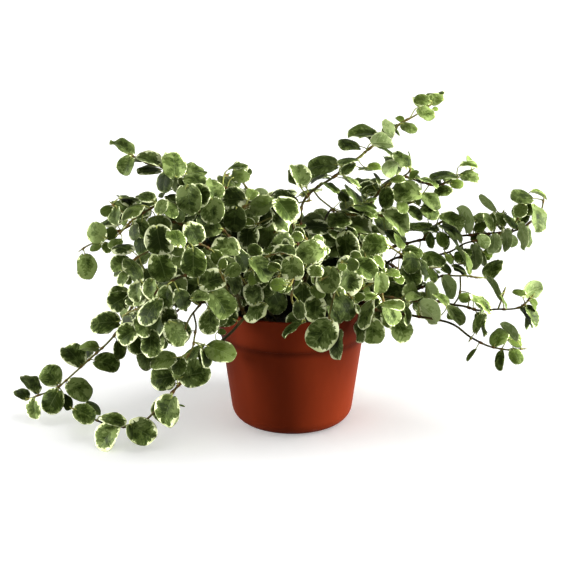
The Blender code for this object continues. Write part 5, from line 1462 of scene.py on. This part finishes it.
class FigStemLook(bpy.types.PropertyGroup):
    """Colours and sizes of the stems."""

    bark: tint("Bark", "Old stems", (0.046, 0.038, 0.010))
    bark_dark: tint("Dark bark", "Dark streaks of old stems", (0.010, 0.0092, 0.003))
    fleck: tint("Flecks", "Small pale pores of the bark", (0.13, 0.10, 0.05))
    scar: tint("Joints", "Reddish brown scars at the joints", (0.085, 0.031, 0.009))
    young_stem: tint("Young stem", "Stems near their tips", (0.085, 0.088, 0.022))
    young_red: tint("Reddish stem", "Buds and the reddish side of young stems", (0.100, 0.058, 0.010))
    petiole_green: tint("Leaf stalks", "Green of the leaf stalks", (0.150, 0.165, 0.040))
    thickness: length("Thickness", "Thickness of a stem where it leaves the soil", 0.0022, 0.001, 0.004)
    tip_thickness: length("Tip thickness", "Thickness of a stem at its tip", 0.0012, 0.0004, 0.002)
    young_reach: length("Young part", "How far from the tip a stem turns brown", 0.055, 0.01, 0.3)
    rootlets: amount("Rootlets", "Share of the old joints that carry rootlets", 0.4, 0, 1, subtype="FACTOR")


class FigGrowth(bpy.types.PropertyGroup):
    """How full the plant is, beyond the leaves that the packed solids have."""

    crown_twigs: number("Crown twigs", "Side twigs tried on each stem of the crown", 3, 8)
    back_twigs: number("Back twigs", "Side twigs tried on each stem at the back", 5, 8)
    leaf_size: amount("Leaf size", "Size of the leaves against the packed ones", 1.09, 0.8, 1.2)
    spacing: length("Leaf spacing", "Mean distance between leaves added on a stem", 0.0065, 0.003, 0.03)


class FigPotLook(bpy.types.PropertyGroup):
    """Colour and finish of the pot."""

    colour: tint("Plastic", "Colour of the pot", (0.058, 0.0070, 0.0015))
    worn: tint("Worn plastic", "Paler bloom in places", (0.080, 0.0105, 0.0026))
    rim_round: length("Rim rounding", "Radius of the rim's edge", 0.0008, 0.0002, 0.002)
    step_round: length("Step rounding", "Radius under the band", 0.0005, 0.0002, 0.002)


class FigSoilLook(bpy.types.PropertyGroup):
    """Colour and grain of the soil."""

    dark: tint("Dark soil", "Moist peat", (0.010, 0.008, 0.004))
    light: tint("Light soil", "Dry crumbs and bark", (0.060, 0.038, 0.022))
    crumb: length("Crumb size", "Mean size of the loose crumbs", 0.0022, 0.0005, 0.006)
    crumbs: number("Crumbs", "Number of loose crumbs on top", 420, 2000)


class FigStageLook(bpy.types.PropertyGroup):
    """Floor and lights."""

    floor: tint("Floor", "Colour of the pale floor under the plant", (0.86, 0.86, 0.86))
    floor_far: tint("Far floor", "Colour of the floor further out", (0.90, 0.90, 0.90))
    glow: tint("Floor glow", "Light of its own that softens the shadows on the floor", (0.30, 0.30, 0.30))
    glow_far: tint("Backdrop glow", "Light of its own in the backdrop", (0.30, 0.30, 0.30))
    sky: amount("Surround", "Strength of the even light from all round", 0.20, 0, 10)
    top: amount("Top light", "Strength of the broad light above", 2.3, 0, 50)
    right: amount("Right light", "Power of the soft light at the right", 320.0, 0, 5000, unit="POWER")
    left: amount("Left light", "Power of the soft light at the left", 155.0, 0, 5000, unit="POWER")


STORE = {}
# Random seeds of the twigs, the extra leaves, a stem's own mesh and its leaves
TWIG_SEED, EXTRA_SEED, STEM_SEED, LEAF_SEEDS = SEED + 5, SEED * 60, 7000, 1000
# Sides of the turned shapes, steps of the soil's domed top, and height of its lowest full ring
POT_TURNS, SOIL_TURNS, FLOOR_TURNS, DOME_STEPS, SOIL_SHOULDER = 160, 144, 96, 40, 18
# The floor: its flat reach, the radius of its rise, and the backdrop's height
SWEEP_FLAT, SWEEP_BEND, SWEEP_TOP = 2200, 1400, 3200
# Where the side lights hang, and what all lights look at
RIGHT_LIGHT, LEFT_LIGHT, LIGHT_AIM = (1.78, -0.13, 0.46), (-1.80, 0.11, 0.18), Vector((0, 0, 0.09))
# The camera looks down this much more than the growth rule's eye does
PHOTO_SIZE, FILM_WIDTH, TILT_MORE = 572, 36, 0.0006


def plant():
    """The grown plant, made once and shared by the operators."""
    if "plant" not in STORE:
        look = bpy.context.scene.fig_growth
        made = FullPlant()
        grow(made)
        made.seen_late(made.missed + layered(MORE_SEEN))
        made.cover_stems()
        made.side_twigs({"crown": look.crown_twigs, "back_": look.back_twigs}, random.Random(TWIG_SEED))
        for k, entry in enumerate(list(made.lines)):
            made.extra_leaves(entry, random.Random(EXTRA_SEED + k), look.spacing / MM)
        made.open_sky()
        made.lines = [entry for entry in made.lines if made.trim(entry)]
        STORE["plant"] = made
    return STORE["plant"]


def finish_piece(piece, node):
    """Let a piece ride on the one body and stand for its packed node."""
    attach(piece, "root")
    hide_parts(node)


def leafy_stem(name):
    """One whole stem with its twigs and leaves, in place of its packed node."""
    scene = bpy.context.scene
    if "finishes" not in STORE:
        STORE["finishes"] = [leaf_finish("leaf_upper", scene.fig_leaf, False),
                             leaf_finish("leaf_under", scene.fig_leaf, True),
                             stem_finish("stem_bark", scene.fig_stem)]
    grown = plant()
    entries = [(n, entry) for n, entry in enumerate(grown.lines) if entry["name"] == name]
    if not entries:
        raise RuntimeError(f"the growth rule has no stem named {name}")
    form = Form()
    for n, entry in entries:
        own = [row[1:] for row in grown.leaves if row[0] is entry]
        stem_form(form, entry, [leaf for leaf, _, _ in own], STEM_SEED + n, scene.fig_stem)
        for k, (leaf, fine, age) in enumerate(own):
            seed = LEAF_SEEDS * n + k
            stalk(form, leaf, age, seed, scene.fig_leaf)
            blade(form, leaf, age, seed, scene.fig_leaf, scene.fig_growth.leaf_size, fine)
    finish_piece(form.make(name + "_leafy", STORE["finishes"]), name)


def leafy_stems(*starts):
    """Every stem whose name starts in one of these ways."""
    for name in [row[0] for row in STEMS + BACK_STEMS if row[0].startswith(starts)]:
        leafy_stem(name)
    return {"FINISHED"}


class FIG_OT_runners(bpy.types.Operator):
    """Build the two long runners that hang over the rim at the left"""

    bl_idname = "fig.runners"
    bl_label = "Runners"

    def execute(self, context):
        return leafy_stems("runner")


class FIG_OT_shoots(bpy.types.Operator):
    """Build the outer shoots, each with its leaves where the photograph shows them"""

    bl_idname = "fig.shoots"
    bl_label = "Outer shoots"

    def execute(self, context):
        return leafy_stems("shoot", "twig")


class FIG_OT_crown(bpy.types.Operator):
    """Build the stems of the dense crown over the pot"""

    bl_idname = "fig.crown"
    bl_label = "Crown stems"

    def execute(self, context):
        return leafy_stems("crown")


class FIG_OT_back(bpy.types.Operator):
    """Build the stems that fill the plant's back"""

    bl_idname = "fig.back"
    bl_label = "Back stems"

    def execute(self, context):
        return leafy_stems("back")


def lathe(profile, sides, closed=True):
    """Points and quads of a profile of (radius, height) turned about Z."""
    turns = math.tau * np.arange(sides) / sides
    ring = np.array(profile)
    points = np.stack([np.outer(ring[:, 0], np.cos(turns)), np.outer(ring[:, 0], np.sin(turns)),
                       np.repeat(ring[:, 1][:, None], sides, 1)], -1).reshape(-1, 3)
    faces = []
    for i in range(len(ring) if closed else len(ring) - 1):
        a, b = i * sides, (i + 1) % len(ring) * sides
        for k in range(sides):
            j = (k + 1) % sides
            faces.append((a + k, b + k, b + j, a + j))
    return points, faces


def turned_mesh(name, points, faces):
    """A turned shape's mesh, and a copy to edit, merged at the axis."""
    mesh = bpy.data.meshes.new(name)
    mesh.from_pydata(points * MM, [], faces)
    shape = bmesh.new()
    shape.from_mesh(mesh)
    bmesh.ops.remove_doubles(shape, verts=shape.verts, dist=0.00002)
    return mesh, shape


def rounded(corners, steps):
    """A profile whose corners (radius, height, rounding) are turned into arcs."""
    out = []
    for k, (r, z, round_off) in enumerate(corners):
        here = np.array([r, z], float)
        before = np.array(corners[k - 1][:2], float) - here
        after = np.array(corners[(k + 1) % len(corners)][:2], float) - here
        if not round_off:
            out.append(tuple(here))
            continue
        before, after = before / np.linalg.norm(before), after / np.linalg.norm(after)
        half = math.acos(np.clip(before @ after, -1, 1)) / 2
        back = round_off / math.tan(half)
        middle = here + (before + after) / np.linalg.norm(before + after) * round_off / math.sin(half)
        first, last = here + before * back - middle, here + after * back - middle
        whole = (math.pi / 2 - half) * 2
        for t in np.linspace(0, 1, steps):
            p = first * math.sin((1 - t) * whole) + last * math.sin(t * whole)
            p = p / np.linalg.norm(p) * round_off
            out.append(tuple(middle + p))
    return out


def pot_finish(look):
    """Satin moulded plastic with a bloom, fine grain and scuffs, and a painted shadow line under the band."""
    material, start, wear = finish_named("pot_plastic", Specular_IOR_Level=0.015)
    place = own_place(start)
    bloom = place.times((14, 14, 5)).cloud(1.6, 4, 0.6)
    streak = place.times((90, 90, 6)).cloud(1.0, 3, 0.6)
    grain = place.cloud(1500, 2, 0.6)
    scuff = place.times((60, 60, 240)).cloud(1.5, 4, 0.7)
    height = place.apart()[2]
    low = 1 - height.step(0.004, 0.030)
    worn = bloom.step(0.42, 0.72) * 0.5 + streak.step(0.5, 0.8) * 0.25 + scuff.step(0.60, 0.74) * low * 0.6
    # Painted shade: a soft dark line just below the band's lower edge, where its shadow falls
    edge = ((height - (POT_HEIGHT - BAND_HEIGHT - 1) * MM).size()).step(0.0050, 0.0004)
    wear("Base Color", worn.between(look.colour, look.worn).tinted((1 - edge * 0.42).grey()))
    wear("Roughness", 0.46 + bloom * 0.10 + streak * 0.06 + scuff.step(0.55, 0.75) * low * 0.12)
    wear("Normal", (grain * 0.5 + streak * 0.5).relief(0.00006, 0.6))
    return material


def drill_drain_holes(context, pot):
    """Cut the ring of drain holes out of the pot's foot."""
    rods = bpy.data.meshes.new("drill")
    shape = bmesh.new()
    for k in range(DRAIN_COUNT):
        w = math.tau * (k + 0.5) / DRAIN_COUNT
        place = Matrix.Translation((DRAIN_RING * MM * math.cos(w), DRAIN_RING * MM * math.sin(w), 0.001))
        bmesh.ops.create_cone(shape, cap_ends=True, segments=32, radius1=DRAIN_RADIUS * MM,
                              radius2=DRAIN_RADIUS * MM, depth=0.01, matrix=place)
    shape.to_mesh(rods)
    shape.free()
    drill = in_scene("drill", rods)
    cut = pot.modifiers.new("drain holes", "BOOLEAN")
    cut.operation, cut.solver, cut.object = "DIFFERENCE", "EXACT", drill
    context.view_layer.update()
    pot.data = bpy.data.meshes.new_from_object(pot.evaluated_get(context.evaluated_depsgraph_get()))
    pot.modifiers.clear()
    bpy.data.objects.remove(drill)


class FIG_OT_pot(bpy.types.Operator):
    """Turn the nursery pot, with its rounded rim, band, foot and drain holes"""

    bl_idname = "fig.pot"
    bl_label = "Pot"

    def execute(self, context):
        look = context.scene.fig_pot
        low = POT_HEIGHT - BAND_HEIGHT
        foot, band = body_radius(0), body_radius(low)
        edge, soft = look.rim_round / MM * 0.95, look.step_round / MM
        profile = rounded([
            (0.01, POT_FLOOR, 0), (foot - POT_WALL - 0.2, POT_FLOOR, POT_CORNER - POT_WALL),
            (POT_MOUTH_RADIUS - BAND_STEP - POT_WALL, POT_HEIGHT, edge), (POT_MOUTH_RADIUS, POT_HEIGHT, edge),
            (band + BAND_STEP, low, soft * 0.6), (band, low - 0.4, soft * 0.3), (foot, 0, POT_CORNER),
            (0.01, 0, 0)], 9)
        mesh, shape = turned_mesh("pot", *lathe(profile, POT_TURNS))
        bmesh.ops.recalc_face_normals(shape, faces=shape.faces)
        shape.to_mesh(mesh)
        shape.free()
        pot = in_scene("nursery_pot", mesh)
        drill_drain_holes(context, pot)
        pot.data.shade_smooth()
        pot.data.set_sharp_from_angle(angle=math.radians(40))
        pot.data.materials.clear()
        pot.data.materials.append(pot_finish(look))
        if len(pot.data.polygons) < 1000:
            raise RuntimeError("the pot came out without its wall")
        finish_piece(pot, "pot")
        return {"FINISHED"}


def soil_finish(look):
    """Moist peat with paler crumbs."""
    material, start, wear = finish_named("soil_peat", Specular_IOR_Level=0.25)
    place = own_place(start)
    lumps, grit = place.cloud(260, 4, 0.65), place.cloud(1100, 3, 0.6)
    wear("Base Color", (lumps.step(0.48, 0.72) * grit.step(0.35, 0.65)).between(look.dark, look.light))
    wear("Roughness", 0.78 + grit * 0.2)
    wear("Normal", (lumps + grit * 0.5).relief(0.0012, 1.0))
    return material


def add_crumb(shape, rng, brim, crumb):
    """One loose crumb on the soil's top."""
    r, w = brim * math.sqrt(rng.random()) * 0.97, rng.uniform(0, math.tau)
    size = crumb / 2 * math.exp(rng.gauss(0, 0.35))
    spin = Matrix.Rotation(rng.uniform(0, math.tau), 4, any_way(rng))
    squat = Matrix.Diagonal((rng.uniform(0.8, 1.7), rng.uniform(0.6, 1.1), rng.uniform(0.4, 0.8), 1))
    place = Matrix.Translation((r * MM * math.cos(w), r * MM * math.sin(w),
                                (SOIL_TOP + 1.2 - 0.9 * r / brim) * MM + size * 0.1))
    made = bmesh.ops.create_icosphere(shape, subdivisions=1, radius=size, matrix=place @ spin @ squat)
    for v in made["verts"]:
        v.co += Vector([rng.uniform(-0.18, 0.18) * size for _ in range(3)])


class FIG_OT_soil(bpy.types.Operator):
    """Fill the pot with crumbly soil, with loose crumbs on top"""

    bl_idname = "fig.soil"
    bl_label = "Soil"

    def execute(self, context):
        look = context.scene.fig_soil
        wall, low = POT_WALL + GAP, POT_FLOOR + GAP
        brim = body_radius(SOIL_TOP) - wall - 0.4
        shoulder = body_radius(SOIL_SHOULDER) - wall
        rng = random.Random(SEED + 9)
        profile = [(0.01, low + 0.1), (shoulder - 15, low + 0.1), (shoulder - 7, low + 2.4),
                   (shoulder - 0.6, SOIL_SHOULDER), (brim, SOIL_TOP - 1.6)]
        profile += [(brim * (1 - k / DOME_STEPS) ** 0.9 + 0.01, SOIL_TOP + 0.2 + k / DOME_STEPS)
                    for k in range(1, DOME_STEPS + 1)]
        points, faces = lathe(profile, SOIL_TURNS)
        for p in points:
            r = math.hypot(p[0], p[1])
            if p[2] > SOIL_TOP - 2 and r < brim - 0.2:
                at = Vector((p[0], p[1], 0))
                rough = noise.fractal(at * 0.16, 1.0, 2.0, 4) * 0.9
                rough += noise.fractal(at * 0.6, 1.0, 2.0, 3) * 0.7
                p[2] += rough * min(1, (brim - r) / 3) - 0.3
        mesh, shape = turned_mesh("soil", points, faces)
        for _ in range(look.crumbs):
            add_crumb(shape, rng, brim, look.crumb)
        bmesh.ops.recalc_face_normals(shape, faces=shape.faces)
        shape.to_mesh(mesh)
        shape.free()
        mesh.shade_smooth()
        mesh.materials.append(soil_finish(look))
        finish_piece(in_scene("potting_soil", mesh), "soil")
        return {"FINISHED"}


def lay_floor(look):
    """The pale floor, which rises into a backdrop far out."""
    sweep = [(SWEEP_FLAT + SWEEP_BEND * math.sin(w), SWEEP_BEND * (1 - math.cos(w)))
             for w in np.linspace(math.pi / 2, 0, 24)]
    profile = [(SWEEP_FLAT + SWEEP_BEND, SWEEP_TOP), *sweep, (600, 0), (0.5, 0)]
    points, faces = lathe(profile, FLOOR_TURNS, False)
    mesh = bpy.data.meshes.new("floor")
    mesh.from_pydata(points * MM, [], faces)
    mesh.shade_smooth()
    floor = in_scene("floor", mesh)
    material, start, wear = finish_named("pale_floor", Roughness=0.9, Specular_IOR_Level=0.05,
                                         Emission_Strength=1.0)
    across, deep, _ = own_place(start).apart()
    away = (across * across + deep * deep) ** 0.5
    wear("Base Color", away.step(0.3, 1.6).between(look.floor, look.floor_far))
    wear("Emission Color", away.step(0.3, 2.5).between(look.glow, look.glow_far))
    mesh.materials.append(material)
    return floor


def lay_world(scene, strength):
    """An even light from all round."""
    scene.world = bpy.data.worlds.new("soft surround")
    scene.world.use_nodes = True
    back = scene.world.node_tree.nodes["Background"].inputs
    back["Color"].default_value, back["Strength"].default_value = (1, 1, 1, 1), strength


def hang_light(name, kind, power, place):
    """A light that looks at the plant's middle."""
    lamp = bpy.data.lights.new(name, kind)
    lamp.energy = power
    light = in_scene(name, lamp)
    light.location = place
    light.rotation_mode = "QUATERNION"
    light.rotation_quaternion = (LIGHT_AIM - Vector(place)).to_track_quat("-Z", "Y")
    return light


class FIG_OT_stage(bpy.types.Operator):
    """Set the pale floor, the soft studio lights and the camera at the photograph's angle"""

    bl_idname = "fig.stage"
    bl_label = "Stage"

    def execute(self, context):
        scene = context.scene
        look = scene.fig_stage
        floor = lay_floor(look)
        lay_world(scene, look.sky)
        plain = bpy.data.collections.new("not the floor")
        plain.objects.link(floor)
        plain.collection_objects[0].light_linking.link_state = "EXCLUDE"
        top = hang_light("top light", "SUN", look.top, TOP_LIGHT + LIGHT_AIM)
        top.data.angle = math.radians(50)
        for name, power, place, tall in (("right light", look.right, RIGHT_LIGHT, 1.3),
                                         ("left light", look.left, LEFT_LIGHT, 1.0)):
            light = hang_light(name, "AREA", power, place)
            light.data.shape, light.data.size, light.data.size_y = "RECTANGLE", 0.8, tall
            light.light_linking.receiver_collection = plain
        lens = bpy.data.cameras.new("camera")
        lens.sensor_width, lens.lens = FILM_WIDTH, FOCUS / PHOTO_SIZE * FILM_WIDTH
        lens.clip_start, lens.clip_end = 0.01, 200
        camera = in_scene("camera", lens)
        camera.location = EYE * MM
        camera.rotation_euler = (math.pi / 2 - PITCH - TILT_MORE, 0, 0)
        scene.camera = camera
        scene.view_settings.view_transform = "Standard"
        return {"FINISHED"}


class FIG_PT_panel(bpy.types.Panel):
    """Lists the plant's operators and settings"""

    bl_idname = "FIG_PT_panel"
    bl_label = "Creeping fig"
    bl_space_type = "VIEW_3D"
    bl_region_type = "UI"
    bl_category = "Creeping fig"

    def draw(self, context):
        for operator in OPERATORS:
            self.layout.operator(operator.bl_idname)
        for word, group in LOOKS.items():
            box = self.layout.box()
            box.label(text=group.__doc__)
            for name in group.__annotations__:
                box.prop(getattr(context.scene, word), name)


OPERATORS = (FIG_OT_stage, FIG_OT_pot, FIG_OT_soil, FIG_OT_runners, FIG_OT_shoots, FIG_OT_crown, FIG_OT_back)
LOOKS = {"fig_leaf": FigLeafLook, "fig_stem": FigStemLook, "fig_growth": FigGrowth, "fig_pot": FigPotLook,
         "fig_soil": FigSoilLook, "fig_stage": FigStageLook}


def register():
    """Register the classes, and hang the settings on the scene."""
    for kind in (*LOOKS.values(), *OPERATORS, FIG_PT_panel):
        bpy.utils.register_class(kind)
    for word, group in LOOKS.items():
        setattr(bpy.types.Scene, word, PointerProperty(type=group))


def unregister():
    """Take the settings and the classes away again."""
    for word in LOOKS:
        delattr(bpy.types.Scene, word)
    for kind in reversed((*LOOKS.values(), *OPERATORS, FIG_PT_panel)):
        bpy.utils.unregister_class(kind)


def main():
    """Build the stage and every piece in order."""
    register()
    bpy.ops.fig.stage()
    bpy.ops.fig.pot()
    bpy.ops.fig.soil()
    bpy.ops.fig.runners()
    bpy.ops.fig.shoots()
    bpy.ops.fig.crown()
    bpy.ops.fig.back()


if __name__ == "__main__":
    main()
